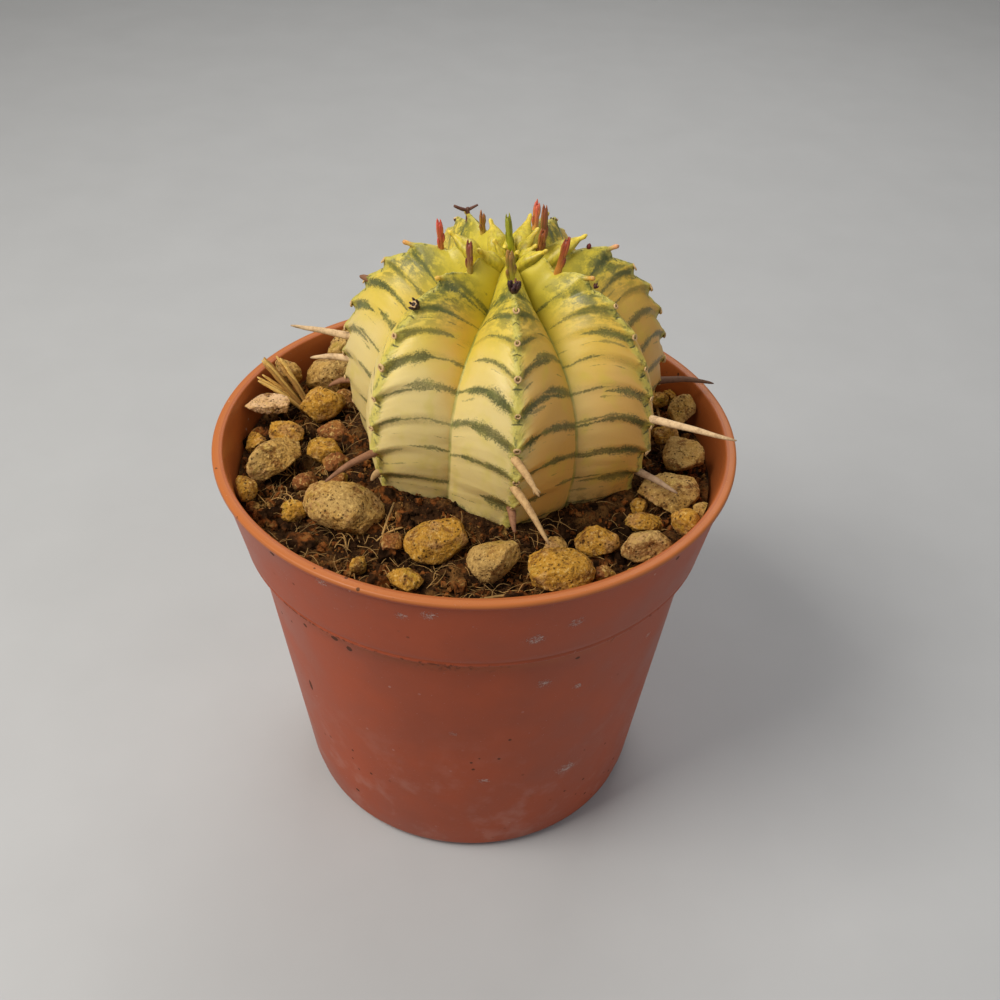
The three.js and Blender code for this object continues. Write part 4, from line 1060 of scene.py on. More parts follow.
def buildDryStalks(material):
    paths, tints = [], []
    tipRadius = dryStalks["tipRadius"]
    for number, (name, arc, sideways, outward, up, tone) in enumerate(dryStalks["rows"]):
        place, colour = ridgeFrame(name, arc), dryStalks[tone]
        length = math.hypot(sideways, outward, up)
        inside = dryStalks["sunk"] / length
        line = curveThrough([
            offset(place, -sideways * inside, -dryStalks["sunk"], -up * inside),
            offset(place, sideways * 0.45, outward * 0.5, up * 0.3 + length * 0.03),
            offset(place, sideways, outward, up)], 9)
        sway = np.sin(np.linspace(0, 5 + number, len(line))) * 0.05 * np.linspace(0, 1, len(line))
        line = line + sway[:, None] * place["side"]
        sizes = tapered(line, 1, (0, dryStalks["radius"]), (0.15, dryStalks["radius"]),
                        (0.6, dryStalks["middleRadius"]), (0.93, tipRadius * 1.6), (1, tipRadius * 0.7))
        paths.append((line, sizes, dryStalks["sides"], 0.85))
        tints.append((colour, scaled(colour, 0.9)))
        if number in dryStalks["frayed"]:
            for k, spread in enumerate((0.3, -0.35)):
                start, end = line[-5], line[-2] + place["side"] * spread + upBy(0.12 - 0.2 * k)
                arm = curveThrough([start, mix(start, end, 0.5) + upBy(0.04), end], 4)
                paths.append((arm, tapered(arm, 0.14, (0, 1), (0.7, 0.9), (1, 0.35)), 7, 0.8))
                tints.append((colour, scaled(colour, 0.6)))
    # dry fork on the back rib
    place = ridgeFrame("back", dryStalks["forkArc"])
    for points, radii in dryStalks["fork"]:
        line = curveThrough([offset(place, *p) for p in points], 5)
        paths.append((line, tapered(line, 1, *zip((0, 0.5, 1), radii)), 9, 0.8))
        tints.append((dryStalks["forkColour"],) * 2)
    return buildTinted("dryStalks", paths, tints, material, 0.035)


for builder, material, slot in (
        (buildYoungTubercles, fleshy("youngFlesh", youngTubercles["keel"]), "spurge_skin"),
        (buildLeaves, fleshy("leafFlesh"), "spurge_skin"),
        (buildLiveStalks, fleshy("stalkFlesh"), "spurge_skin"),
        (buildDryStalks, dryWood("dryStalkSkin", 0.4), "dry_straw")):
    settle(builder(material), slot)
print("stalks, leaves and young tubercles placed")

# leaf scars: a corky ring with a dark middle at the tip of every tubercle
scars = {
    "ring": 0.32, "thickness": 0.12, "ringSides": 14, "wobble": 0.22, "sunk": 0.07, "droop": 0.25, "seed": 7,
    "ringColour": (0.80, 0.54, 0.26), "middleColour": (0.17, 0.07, 0.035),
    # dried flowers: rib, arc, size, aside, lobes and colour
    "remnants": (("front", 8.3, 1.05, 0.0, 7, (0.06, 0.018, 0.018)),
                 ("front", 7.2, 0.5, 0.15, 4, (0.34, 0.12, 0.07)),
                 ("leftFront", 13.3, 0.85, 0.1, 6, (0.05, 0.018, 0.016)),
                 ("rightFront", 10.9, 0.42, 0.0, 4, (0.12, 0.02, 0.02)),
                 ("right", 8.9, 0.6, 0.0, 0, (0.20, 0.02, 0.02)),
                 ("back", 13.0, 0.45, 0.2, 3, (0.10, 0.04, 0.03)),
                 ("rightBack", 12.4, 0.5, 0.0, 4, (0.08, 0.03, 0.02))),
    "knob": (0.6, 0.85, 1.0, 1.0, 0.9, 0.65, 0.25),
}


def corkyMaterial():
    paint = Paint("scarCork")
    fine = paint.noise(3000, 4, 0.7)
    ring = ramp(fine, (0.3, scaled(scars["ringColour"], 0.55)), (0.65, scars["ringColour"]))
    colour = blend(paint.attribute("middle"), ring, scars["middleColour"])
    return paint.finish(colour, 0.75, bump(fine, 0.08, 0.9))


def scarTree():
    tree = GeometryTree("scarRings", {"Ring Radius": "Float", "Thickness": "Float", "Ring Sides": "Int",
                                      "Seed": "Int", "Cork": "Material"})
    add, given = tree.add, tree.given
    path = add("GeometryNodeCurvePrimitiveCircle", {
        "Resolution": given["Ring Sides"], "Radius": given["Ring Radius"]})
    profile = add("GeometryNodeCurvePrimitiveCircle", {"Resolution": 6, "Radius": given["Thickness"]})
    ring = add("GeometryNodeCurveToMesh", {"Curve": path, "Profile Curve": profile})
    disc = add("GeometryNodeMeshCircle", {"Vertices": given["Ring Sides"], "Radius": given["Ring Radius"]},
               fill_type="TRIANGLE_FAN")
    marked = [add("GeometryNodeStoreNamedAttribute", {"Geometry": part, "Name": "middle", "Value": middle},
                  data_type="FLOAT", domain="POINT") for part, middle in ((ring, 0.0), (disc, 1.0))]
    scar = add("GeometryNodeJoinGeometry", {0: marked})
    facing, size = (add("GeometryNodeInputNamedAttribute", {"Name": name}, "Attribute", data_type=kind)
                    for name, kind in (("facing", "FLOAT_VECTOR"), ("size", "FLOAT")))
    turned = add("FunctionNodeAlignRotationToVector", {"Vector": facing}, axis="Z")
    placed = add("GeometryNodeInstanceOnPoints", {
        "Points": given["Geometry"], "Instance": scar, "Rotation": turned, "Scale": size})
    real = add("GeometryNodeRealizeInstances", {0: placed})
    wobble = add("ShaderNodeTexNoise", {"Scale": 1500.0, "Detail": 2.0, "W": given["Seed"]}, "Color",
                 noise_dimensions="4D")
    push = scaleBy(vectorMaths("SUBTRACT", wobble, (0.5, 0.5, 0.5)), scars["wobble"] * mm)
    uneven = add("GeometryNodeSetPosition", {"Geometry": real, "Offset": push})
    return tree.finish(add("GeometryNodeSetShadeSmooth", {0: uneven}), "Cork")


def buildScars():
    points, facings, sizes = [], [], []
    draw = random.Random(scars["seed"])
    for index, (name, rib) in enumerate(ribs.items()):
        for k in range(1, spurge["perRib"]):
            tip = skinPoints(index, 1, 0.0, np.array([k + 0.03]))[0]
            normal = ridgeFrame(name, float(tubercleArc(rib, np.array(float(k)))))["normal"]
            points.append(tip - normal * scars["sunk"])
            facings.append(normal * 0.9 - upBy(scars["droop"]))
            sizes.append(draw.uniform(0.75, 1.1))
    host = meshOf("scarPoints", points, [])
    addLayer(host, "facing", facings, "FLOAT_VECTOR")
    addLayer(host, "size", sizes)
    return scarTree().grow("leafScars", host, {
        "Ring Radius": scars["ring"] * mm, "Thickness": scars["thickness"] * mm,
        "Ring Sides": scars["ringSides"], "Seed": scars["seed"], "Cork": corkyMaterial()})


def remnantMaterial():
    paint = Paint("driedFlower")
    fine = paint.noise(2500, 4, 0.7)
    colour = blend(fine.ease(0.62, 0.38, 0, 0.8), paint.attribute("tint", "Color"), (0.3, 0.25, 0.25),
                   "MULTIPLY")
    return paint.finish(colour, 0.5, bump(fine, 0.12, 0.9))


def buildRemnants(material):
    # shrivelled flower heads: a dark knob with a few short lobes round it
    draw = random.Random(scars["seed"] + 1)
    paths, tints = [], []
    for name, arc, size, aside, lobes, colour in scars["remnants"]:
        place = ridgeFrame(name, arc)
        normal, side = place["normal"], place["side"]
        foot = place["foot"] + normal * spurge["tubercle"] * 0.5 + side * aside
        knob = foot + np.linspace(-0.5, 0.62, len(scars["knob"]))[:, None] * normal * size
        paths.append((knob, 0.5 * size * np.array(scars["knob"]), 12, 0.9))
        for k in range(lobes):
            turn = k * fullTurn / lobes + draw.uniform(-0.3, 0.3)
            lean = side * math.cos(turn) + np.cross(normal, side) * math.sin(turn)
            start = foot - normal * 0.3 * size + lean * 0.2 * size
            end = foot + (normal * draw.uniform(0.55, 1.0) + lean * draw.uniform(0.5, 0.78)) * size
            line = curveThrough([start, mix(start, end, 0.5) + lean * 0.1 * size, end], 4)
            paths.append((line, tapered(line, 0.2 * size, (0, 1), (0.6, 1.1), (0.9, 0.8), (1, 0.4)), 7, 0.9))
        tints += [(colour, colour)] * (lobes + 1)
    return buildTinted("flowerRemnants", paths, tints, material, 0.05)


settle(buildScars(), "dry_straw")
settle(buildRemnants(remnantMaterial()), "dry_straw")
print("scars and flower remnants placed")

# soil
soil = {
    "level": 45.3, "roughness": 0.35, "floorGap": 0.3, "mound": 1.4, "moundReach": 5.0, "slope": 0.012,
    "bank": (1.6, 232.0, 38.0), "columns": 240, "rings": 64, "grain": 0.34, "lumps": 0.5, "wallGap": 0.35,
    # under the plant, close to its base and root: height and share of the opening in the surface
    "rootRings": ((43.2, 1.0), (40.5, 0.86), (35.0, 0.57), (29.0, 0.26)), "rootTip": 25.2, "surface": 47.0,
    "colour": (0.045, 0.020, 0.008), "paleColour": (0.20, 0.095, 0.028), "deepColour": (0.013, 0.0055, 0.002),
    "redColour": (0.24, 0.078, 0.018), "strawColour": (0.46, 0.27, 0.08),
    # name, how many, size, roundness steps, seed
    "crumbs": (("soilCrumbs", 1500, 0.38, 2, 12), ("soilDust", 5200, 0.19, 1, 47),
               ("soilGrit", 240, 0.85, 3, 31)),
    # the open ring they lie on: columns, rings and gap to the plant
    "open": (90, 10, 0.4),
    # name, how many, length, radius and bend
    "fibres": (("rootFibres", 620, 2.4, 0.034, 0.5), ("soilStraws", 16, 5.0, 0.13, 0.22)),
    # bearings between which fibres lie thicker, how high they arch and their gap to the plant
    "fibreSide": (150, 300), "fibreLift": (0.1, 0.75), "fibreGap": 0.3,
    "seed": 12, "fibreColour": (0.50, 0.29, 0.09),
}


def soilHeight(x, y):
    waves = (np.sin(0.55 * x + 1.3) * np.cos(0.47 * y - 0.6) + 0.6 * np.sin(0.9 * x - 0.8 * y)
             + 0.4 * np.cos(1.3 * y + 0.7 * x))
    dx, dy = x - axis[0], y - axis[1]
    height, bearing, width = soil["bank"]
    aside = np.arctan2(dy, dx) / degree - bearing
    bank = height * bell(aside - 360 * np.round(aside / 360), width)
    fromPlant = np.hypot(dx, dy) - spurge["ridge"][0] + 2
    mound = (soil["mound"] + bank) * (1 - smoothStep(-1, soil["moundReach"], fromPlant))
    return soil["level"] + soil["roughness"] * 0.5 * waves + soil["slope"] * (y + 8) + mound


def plantReach(x, y, z):
    # how far the plant's skin stands from its axis, as the solid gravel keeps clear of it
    low = np.maximum(0, spurge["waist"] - z)
    ridge, groove = (radius - taper[0] * low ** taper[1]
                     for radius, _, _, taper in (spurge["ridge"], spurge["groove"]))
    bearing = np.arctan2(y - axis[1], x - axis[0]) / degree
    nearest = np.full(np.shape(x), 180.0)
    for rib in ribList:
        aside = bearing - ribBearing(rib, z)
        nearest = np.minimum(nearest, np.abs(aside - 360 * np.round(aside / 360)))
    towards = 1 - clamp01(nearest / spurge["grooveTurn"]) ** spurge["flankPower"]
    return mix(groove, ridge, towards) + spurge["tubercle"] * towards


def openingAt(outer, z, gap):
    # from the plant's axis towards points on the wall, as far as the plant's skin and a gap
    bearing = np.arctan2(outer[:, 1] - axis[1], outer[:, 0] - axis[0])
    ways = circled(bearing)
    reach = plantReach(axis[0] + ways[:, 0], axis[1] + ways[:, 1], np.full(len(outer), z)) + gap
    return axis + reach[:, None] * ways


def buildSoil(material):
    columns, gap = soil["columns"], soil["wallGap"]
    ways = circled(np.arange(columns) * 2 * math.pi / columns)
    foot = potFloorTop + soil["floorGap"]
    walls = ((foot, 1.3), (potFloorTop + 2.0, gap), (22, gap), (pot["collarFoot"] - 0.7, gap),
             (pot["collarFoot"] + 0.1, gap), (43.5, gap))
    rows = [((innerPotRadius(z) - inset) * ways, np.full(columns, float(z))) for z, inset in walls]
    outer = (innerPotRadius(soil["level"]) - gap) * ways
    inner = openingAt(outer, 46.5, -0.35)
    for f in np.linspace(0, 1, soil["rings"]):
        flat = outer * (1 - f) + inner * f
        z = soilHeight(flat[:, 0], flat[:, 1])
        spots = np.column_stack([flat, z])
        lumps = soil["lumps"] * bumpy(spots, 0.42, 4, 3) + soil["grain"] * bumpy(spots, 1.7, 5, 4)
        rows.append((flat, z + smoothStep(0, 0.12, f) * lumps))
    rows += [(axis + (inner - axis) * scale, np.full(columns, z)) for z, scale in soil["rootRings"]]
    points = np.vstack([np.column_stack(row) for row in rows] + [upBy(foot), axisAt(soil["rootTip"])])
    faces = ringFaces(len(rows), columns)
    last, bottom = (len(rows) - 1) * columns, len(rows) * columns
    for j in range(columns):
        after = (j + 1) % columns
        faces += [(bottom, after, j), (last + j, last + after, bottom + 1)]
    return showMesh(meshOf("soilBody", points, faces), material)


def soilMaterial():
    paint = Paint("peatySoil")
    lump, fine = paint.noise(380, 5, 0.68), paint.noise(2600, 4, 0.7)
    colour = ramp(lump, (0.34, soil["deepColour"]), (0.50, soil["colour"]), (0.66, soil["paleColour"]))
    colour = layered(colour, (paint.noise(700, 4, 0.7).ease(0.54, 0.68, 0, 0.55), soil["redColour"]),
                     (fine.ease(0.60, 0.72, 0, 0.5), soil["strawColour"]))
    deep = bump(lump, 1.0, 1.0)
    return paint.finish(colour, 0.95, bump(paint.cells(1500)[0] + fine, 0.35, 0.9, deep), specular=0.08)


def crumbMaterial():
    paint = Paint("soilCrumbs")
    colour = ramp(paint.noise(430, 2), (0.34, soil["deepColour"]), (0.46, soil["colour"]),
                  (0.56, soil["redColour"]), (0.64, soil["paleColour"]), (0.72, soil["strawColour"]))
    colour = blend(paint.noise(1900, 4, 0.7).ease(0.52, 0.36, 0, 0.8), colour, soil["deepColour"])
    return paint.finish(colour, 0.95, bump(paint.noise(2800, 4, 0.7), 0.22, 0.9), specular=0.08)


def crumbTree():
    # lumps of peat and grit strewn over the open soil
    tree = GeometryTree("scatterCrumbs", {"Crumbs": "Int", "Size": "Float", "Roundness": "Int", "Seed": "Int",
                                          "Crumb": "Material"})
    add, given = tree.add, tree.given
    area = add("GeometryNodeAttributeStatistic", {
        "Geometry": given["Geometry"], 2: add("GeometryNodeInputMeshFaceArea")}, "Sum", domain="FACE")
    strewn = add("GeometryNodeDistributePointsOnFaces", {
        "Mesh": given["Geometry"], "Density": given["Crumbs"] / area, "Seed": given["Seed"]}, "Points")
    ball = add("GeometryNodeMeshIcoSphere", {"Radius": 1.0, "Subdivisions": given["Roundness"]}, "Mesh")
    dented = add("ShaderNodeTexNoise", {"Scale": 1.3, "Detail": 2.0}, "Fac")
    push = scaleBy(add("GeometryNodeInputNormal"), (dented - 0.5) * 1.9)
    lump = add("GeometryNodeSetPosition", {"Geometry": ball, "Offset": push})
    share = add("FunctionNodeRandomValue", {2: 0.0, 3: 1.0, "Seed": given["Seed"]}, 1, data_type="FLOAT")
    scale = given["Size"] * (maths("POWER", share, 3.0) * 1.5 + 0.35)
    spin = add("FunctionNodeRandomValue", {0: (0.0, 0.0, 0.0), 1: (6.28, 6.28, 6.28), "Seed": given["Seed"]},
               data_type="FLOAT_VECTOR")
    return tree.finish(add("GeometryNodeInstanceOnPoints", {
        "Points": strewn, "Instance": lump, "Rotation": add("FunctionNodeEulerToRotation", {0: spin}),
        "Scale": combine(scale, scale * 0.8, scale * 0.65)}), "Crumb")


def openSoil():
    # the ring of soil between plant and wall
    columns, rings, gap = soil["open"]
    outer = (innerPotRadius(46) - 0.7) * circled(np.arange(columns) * 2 * math.pi / columns)
    inner = openingAt(outer, soil["surface"], gap)
    flats = np.vstack([mix(outer, inner, f) for f in np.linspace(0.02, 1, rings)])
    points = np.column_stack([flats, soilHeight(*flats.T) + 0.05])
    return meshOf("openSoil", points, ringFaces(rings, columns))


def buildCrumbs(material):
    tree, host = crumbTree(), openSoil()
    return [tree.grow(name, host, {"Crumbs": total, "Size": size * mm, "Roundness": steps, "Seed": seed,
                                   "Crumb": material}) for name, total, size, steps, seed in soil["crumbs"]]


def fibreMaterial():
    paint = Paint("rootFibre")
    colour = soil["fibreColour"]
    return paint.finish(ramp(paint.noise(300), (0.36, scaled(colour, 0.35)), (0.62, colour)), 0.8)


def nearPlant(x, y, gap):
    return np.hypot(x - axis[0], y - axis[1]) < plantReach(x, y, soil["surface"]) + gap


def buildFibres(material, name, total, usual, thick, curl):
    draw = random.Random(soil["seed"] + total)
    wall = innerPotRadius(46) - 1.0
    paths = []
    while len(paths) < total:
        bearing = draw.choice((draw.uniform(*soil["fibreSide"]), draw.uniform(0, 360))) * degree
        r = draw.uniform(0.55, 1.0) * wall
        x, y = r * math.cos(bearing), r * math.sin(bearing)
        if nearPlant(x, y, soil["fibreGap"]):
            continue
        length = usual * draw.uniform(0.4, 1.5)
        heading, bend = draw.uniform(0, fullTurn), draw.uniform(-curl, curl)
        line, lift = [], draw.uniform(*soil["fibreLift"])
        for f in (0, 0.2, 0.4, 0.6, 0.8, 1):
            line.append((x, y, float(soilHeight(x, y)) + lift * math.sin(math.pi * min(1, f * 1.15)) + 0.12))
            x += length / 5 * math.cos(heading)
            y += length / 5 * math.sin(heading)
            heading += bend * 0.6
        across, along, _ = np.array(line).T
        if np.hypot(across, along).max() > wall or nearPlant(across, along, 0.1).any():
            continue
        paths.append((line, np.full(len(line), thick * draw.uniform(0.5, 1.6)), 5, 0.8))
    return showMesh(meshOf(name, *tubeMesh(paths)[:2]), material)


settle(buildSoil(soilMaterial()), "soil", "soil")
for scattered in buildCrumbs(crumbMaterial()):
    settle(scattered, "soil")
fibreSkin = fibreMaterial()
for kind in soil["fibres"]:
    settle(buildFibres(fibreSkin, *kind), "dry_straw")
print("soil filled in, with crumbs and root fibres")

# gravel
gravel = {
    "cuts": 9, "flat": (0.66, 0.98), "corner": 1.14, "rounding": 0.012, "gap": 0.3, "wallClearance": 0.35,
    "plantClearance": 0.5, "large": 3.1, "lumps": 0.036, "grit": 0.034, "seed": 101,
    # small breaks across the rounded places: how many, and how deep as a share of the reach
    "chips": 16, "chipDepth": (0.86, 0.97),
    "ochre": (0.53, 0.27, 0.032), "tan": (0.52, 0.33, 0.11), "pale": (0.82, 0.55, 0.33),
    "brown": (0.26, 0.09, 0.025), "grain": (0.80, 0.56, 0.20), "pitColour": (0.075, 0.032, 0.008),
    "moss": (0.36, 0.27, 0.02), "stain": (0.22, 0.09, 0.018), "rose": (0.46, 0.25, 0.12),
}
# each stone: place, half sizes, turn and colour
stones = (
    ((-13.6, -12.2, 46.9), (4.7, 3.2, 2.4), -32, "tan"), ((-3.6, -16.6, 47.0), (3.1, 2.6, 2.1), 20, "ochre"),
    ((2.6, -19.4, 46.9), (3.3, 2.4, 2.1), -14, "tan"), ((9.2, -21.4, 47.1), (3.5, 2.7, 2.3), 8, "ochre"),
    ((-22.6, -3.2, 47.4), (4.2, 2.1, 1.9), 62, "tan"), ((21.9, -6.6, 46.9), (3.3, 2.8, 2.0), -12, "tan"),
    ((24.2, -0.6, 47.6), (2.6, 2.9, 2.1), 15, "tan"), ((-19.2, 14.8, 47.6), (3.2, 2.6, 2.3), 12, "tan"),
    ((-17.2, 19.6, 49.0), (2.9, 2.1, 2.0), 24, "tan"), ((-19.2, 7.6, 47.6), (2.7, 2.7, 2.1), 35, "ochre"),
    ((-25.0, 5.6, 48.5), (2.9, 1.8, 1.1), 10, "pale"), ((-24.0, 13.2, 48.7), (2.1, 1.6, 1.5), -20, "tan"),
    ((-22.7, 2.2, 46.9), (2.1, 1.6, 1.3), 5, "ochre"), ((-17.6, -1.0, 46.9), (2.2, 2.1, 1.7), 40, "ochre"),
    ((-16.9, 3.6, 46.4), (1.7, 1.9, 1.4), 70, "brown"), ((-19.0, -6.6, 46.4), (1.5, 1.4, 1.2), 0, "brown"),
    ((-19.8, -11.6, 46.1), (1.4, 1.3, 1.1), 15, "ochre"), ((-25.6, -7.8, 46.5), (1.3, 2.0, 1.3), 8, "ochre"),
    ((-8.4, -17.0, 46.6), (1.2, 1.4, 1.2), 30, "brown"), ((13.6, -15.8, 46.8), (2.4, 2.0, 1.7), -18, "ochre"),
    ((9.1, -16.4, 46.0), (1.3, 1.5, 1.2), 50, "tan"), ((18.8, -16.4, 47.0), (2.7, 1.9, 1.6), 14, "tan"),
    ((23.6, -12.4, 47.1), (1.7, 1.8, 1.5), 60, "ochre"), ((18.9, -11.6, 46.2), (2.3, 1.5, 1.2), -6, "ochre"),
    ((22.8, 4.6, 46.8), (1.6, 1.5, 1.3), 25, "ochre"), ((25.2, 8.6, 47.9), (2.3, 1.8, 1.6), 74, "tan"),
    ((22.4, 12.2, 46.7), (1.3, 1.2, 1.0), 12, "ochre"), ((14.2, -20.6, 46.2), (1.2, 1.1, 0.9), 33, "brown"),
    ((17.4, -20.6, 46.1), (1.1, 0.9, 0.8), 80, "ochre"), ((-6.6, -22.0, 45.9), (1.9, 1.5, 1.1), -25, "ochre"),
    ((19.6, 17.6, 47.0), (2.3, 2.0, 1.7), 45, "tan"), ((14.8, 21.9, 47.1), (2.4, 1.9, 1.7), -30, "ochre"),
    ((9.4, 24.6, 46.9), (2.2, 1.7, 1.5), -14, "tan"), ((4.0, 25.8, 47.2), (2.2, 1.4, 1.6), 4, "ochre"),
    ((-1.6, 25.4, 46.9), (2.2, 1.6, 1.5), -8, "tan"), ((-7.4, 24.8, 47.3), (2.3, 1.7, 1.6), 16, "ochre"),
    ((-12.4, 21.6, 47.1), (2.2, 1.9, 1.7), 50, "tan"), ((-14.2, 16.8, 46.4), (1.8, 1.7, 1.3), 22, "ochre"),
    ((-15.4, -6.6, 46.9), (1.3, 1.0, 0.9), 40, "brown"), ((-16.0, -3.2, 46.8), (1.5, 1.4, 1.1), 10, "brown"),
    ((-26.0, 1.6, 46.0), (1.2, 2.1, 1.1), 4, "ochre"), ((-16.6, 10.4, 46.3), (1.6, 1.3, 1.3), 65, "brown"),
    ((24.2, 13.4, 46.6), (1.3, 1.3, 1.1), 20, "ochre"), ((-10.0, 19.0, 46.0), (1.2, 1.1, 0.9), 55, "tan"),
    ((18.6, -8.6, 45.9), (1.1, 1.3, 0.9), 5, "ochre"), ((25.8, -9.4, 46.3), (1.2, 1.0, 1.0), 35, "tan"),
    ((-11.6, -19.6, 45.7), (1.2, 1.0, 0.8), 75, "ochre"),
)


def stoneShape(number):
    # the random planes and the tilt of one stone
    at, half, turn, _ = stones[number]
    draw = seededRandom(gravel["seed"] + number)
    normals, depths = [], []
    for _ in range(gravel["cuts"]):
        up = 2 * next(draw) - 1
        around = 2 * math.pi * next(draw)
        flat = math.sqrt(1 - up * up)
        normals.append((flat * math.cos(around), flat * math.sin(around), up))
        depths.append(mix(*gravel["flat"], next(draw)))
    tilt = Euler(((next(draw) - 0.5) * 0.4, (next(draw) - 0.5) * 0.4, turn * degree), "XYZ")
    shape = {"at": np.array(at), "half": np.array(half), "normals": np.array(normals),
             "depths": np.array(depths), "turn": np.array(tilt.to_matrix())}
    own = random.Random(number)
    ways = unit(np.array([[own.gauss(0, 1) for _ in range(3)] for _ in range(gravel["chips"])]))
    depths = stoneReach(shape, ways) * [own.uniform(*gravel["chipDepth"]) for _ in ways]
    return dict(shape, normals=np.vstack([shape["normals"], ways]), depths=np.append(shape["depths"], depths))


def stoneReach(shape, ways, rounding=0.0):
    facing = ways @ shape["normals"].T
    reach = np.where(facing > 1e-3, shape["depths"] / np.maximum(facing, 1e-3), 9.0)
    reach = np.column_stack([np.minimum(reach, 3), np.full(len(ways), gravel["corner"])])
    if not rounding:
        return reach.min(1)
    return -rounding * np.log(np.exp(-reach / rounding).sum(1))


def insideStone(shape, points, swell):
    local = (points - shape["at"]) @ shape["turn"]
    shrunk = local / shape["half"]
    ways = shrunk / np.maximum(np.linalg.norm(shrunk, axis=1, keepdims=True), 1e-9)
    edge = ways * stoneReach(shape, ways)[:, None] * shape["half"] + ways * swell
    return np.linalg.norm(local, axis=1) < np.linalg.norm(edge, axis=1)


def keepClear(points, shape, others):
    # draws the points back until they stand off the stones laid before, the wall and the plant
    own = shape["at"]
    for other in others:
        if np.linalg.norm(other["at"] - own) > other["half"][0] + shape["half"][0] + 1:
            continue
        within = insideStone(other, points, gravel["gap"])
        if not within.any():
            continue
        near, far = np.zeros(within.sum()), np.ones(within.sum())
        rays = points[within] - own
        for _ in range(12):
            middle = (near + far) / 2
            hit = insideStone(other, own + rays * middle[:, None], gravel["gap"])
            far, near = np.where(hit, middle, far), np.where(hit, near, middle)
        points[within] = own + rays * near[:, None]
    fromAxis = np.hypot(points[:, 0], points[:, 1])
    wall = np.array([innerPotRadius(min(z, pot["height"])) for z in points[:, 2]]) - gravel["wallClearance"]
    tooFar = (points[:, 2] < pot["height"] + 1) & (fromAxis > wall)
    points[tooFar, :2] *= (wall / fromAxis)[tooFar, None]
    away = points[:, :2] - axis
    fromPlant = np.hypot(*away.T)
    skin = plantReach(*points.T) + gravel["plantClearance"]
    tooNear = fromPlant < skin
    points[tooNear, :2] = axis + away[tooNear] * (skin / fromPlant)[tooNear, None]


def buildStone(number, shapes, material):
    shape = shapes[number]
    half = shape["half"]
    ball = bmesh.new()
    bmesh.ops.create_icosphere(ball, subdivisions=6 if max(half) > gravel["large"] else 5, radius=1)
    ways = np.array([v.co[:] for v in ball.verts])
    faces = [tuple(v.index for v in f.verts) for f in ball.faces]
    ball.free()
    reach = stoneReach(shape, ways, gravel["rounding"])
    reach = reach + gravel["lumps"] * bumpy(ways * half, 0.55, number, 3) / half[2] * 2
    reach = reach + gravel["grit"] * bumpy(ways * half, 2.4, number + 60, 3) / half[2] * 2
    points = ways * reach[:, None] * half @ shape["turn"].T + shape["at"]
    keepClear(points, shape, shapes[:number])
    mesh = meshOf("pebble%02d" % (number + 1), points, faces)
    addTint(mesh, np.tile(gravel[stones[number][3]], (len(points), 1)))
    return showMesh(mesh, material)


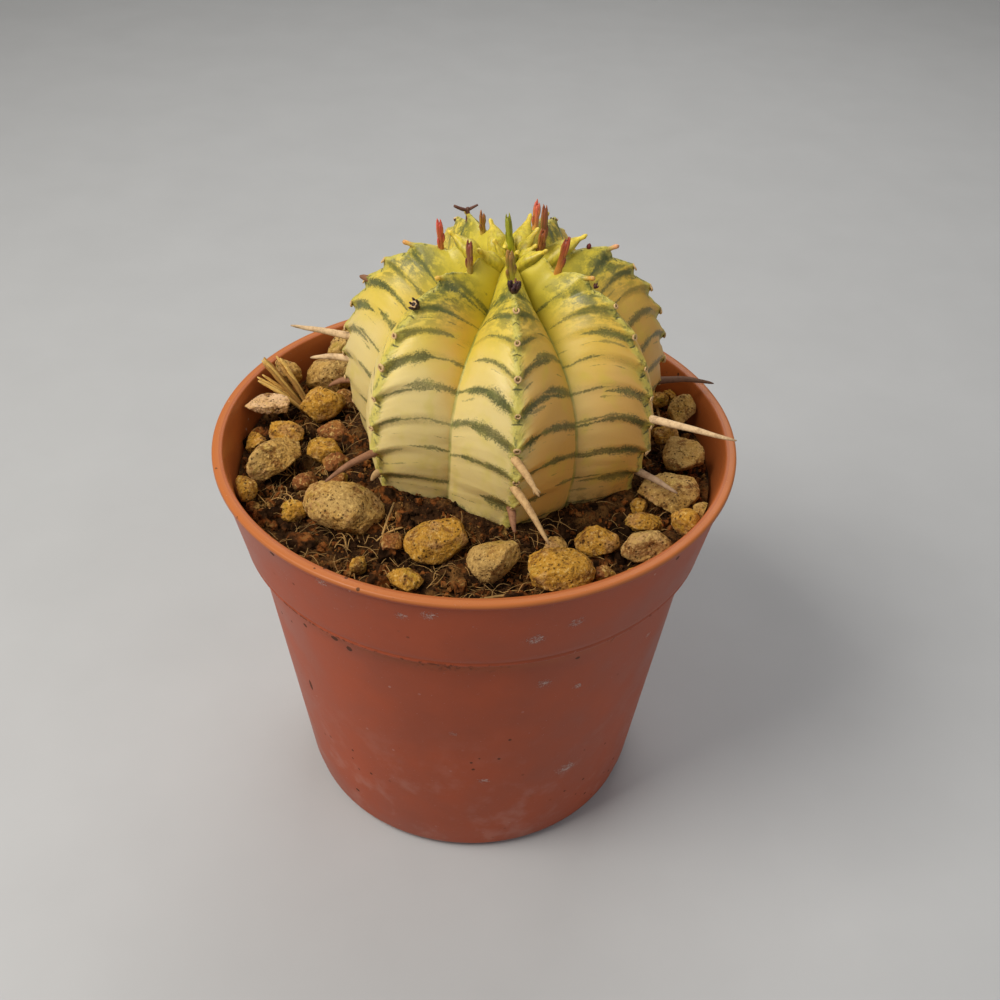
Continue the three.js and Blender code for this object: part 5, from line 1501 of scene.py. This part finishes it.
def gravelMaterial():
    paint = Paint("ochrePumice")
    z = split(paint.place)[2]
    fine, hollows = paint.noise(2300, 4, 0.75), paint.noise(640, 5, 0.7)
    pit = paint.cells(2100)[0].ease(0.34, 0.14) * paint.noise(900, 3, 0.6).ease(0.46, 0.58)
    # darker towards the bottom of each stone, by height with an uneven edge
    darkerLow = (z + hollows * 0.004).easeMm(48.8, 46.5)
    colour = layered(
        paint.attribute("tint", "Color"),
        (paint.noise(210, 4, 0.6).ease(0.42, 0.64, 0, 0.45), gravel["ochre"]),
        (paint.noise(330, 4, 0.7).ease(0.50, 0.66, 0, 0.55), gravel["rose"]),
        (paint.noise(260, 4, 0.65).ease(0.55, 0.70, 0, 0.6), gravel["moss"]),
        (hollows.ease(0.49, 0.36, 0, 0.9), gravel["stain"]), (fine.ease(0.53, 0.66, 0, 0.7), gravel["grain"]),
        (fine.ease(0.46, 0.34, 0, 0.8), gravel["pitColour"]), (pit * 0.85, gravel["pitColour"]),
        (darkerLow * 0.85, gravel["pitColour"]))
    pitted = bump(1.0 - pit, 0.22, 0.9, bump(hollows, 0.8, 0.9))
    return paint.finish(colour, 0.88, bump(fine, 0.16, 0.9, pitted), specular=0.25)


shapes = [stoneShape(number) for number in range(len(stones))]
pumice = gravelMaterial()
for number in range(len(stones)):
    settle(buildStone(number, shapes, pumice), "gravel", "stone_%02d" % (number + 1))
print("gravel laid:", len(stones), "stones")

# dry stem: loose straws fanned out from one broken foot
straw = {
    "blades": (((-21.8, 9.4, 46.3), (-26.4, 10.0, 52.2)), ((-21.4, 9.9, 46.6), (-24.8, 11.2, 52.1)),
               ((-21.6, 9.0, 46.0), (-26.6, 8.2, 50.9))),
    "halfWidth": 0.95, "thickness": 0.3, "strands": 8, "facing": (0.75, 0.2, 0.3), "seed": 5,
    "pale": (0.90, 0.60, 0.17), "brown": (0.52, 0.29, 0.07),
}


def buildStraw(material):
    draw = random.Random(straw["seed"])
    paths, tints = [], []
    for foot, tip in straw["blades"]:
        foot, tip = np.array(foot), np.array(tip)
        along = unit(tip - foot)
        across = unit(np.cross(straw["facing"], along))
        thick = np.cross(along, across)
        for k in range(straw["strands"]):
            aside = across * ((k / (straw["strands"] - 1) - 0.5) * 1.8 * straw["halfWidth"])
            shorter = draw.uniform(0.66, 1.0)
            middle = mix(foot, tip, 0.5 * shorter) + aside * 0.8 + thick * draw.uniform(0, 0.3)
            end = mix(foot, tip, shorter) + aside * draw.uniform(0.5, 1.0) + thick * draw.uniform(-0.2, 0.4)
            line = curveThrough([foot + aside * 0.7, middle, end], 8)
            sizes = tapered(line, straw["thickness"], (0, 1), (0.6, 0.95), (0.9, 0.7), (1, 0.35))
            paths.append((line, sizes, 8, 0.8))
            tone = straw["pale"] if draw.random() < 0.6 else straw["brown"]
            tints.append((scaled(tone, 0.7), tone))
    return buildTinted("strawBundle", paths, tints, material, 0.04)


settle(buildStraw(dryWood("strawSkin", 0.25)), "dry_straw", "dry_stem")
print("dry stem placed")
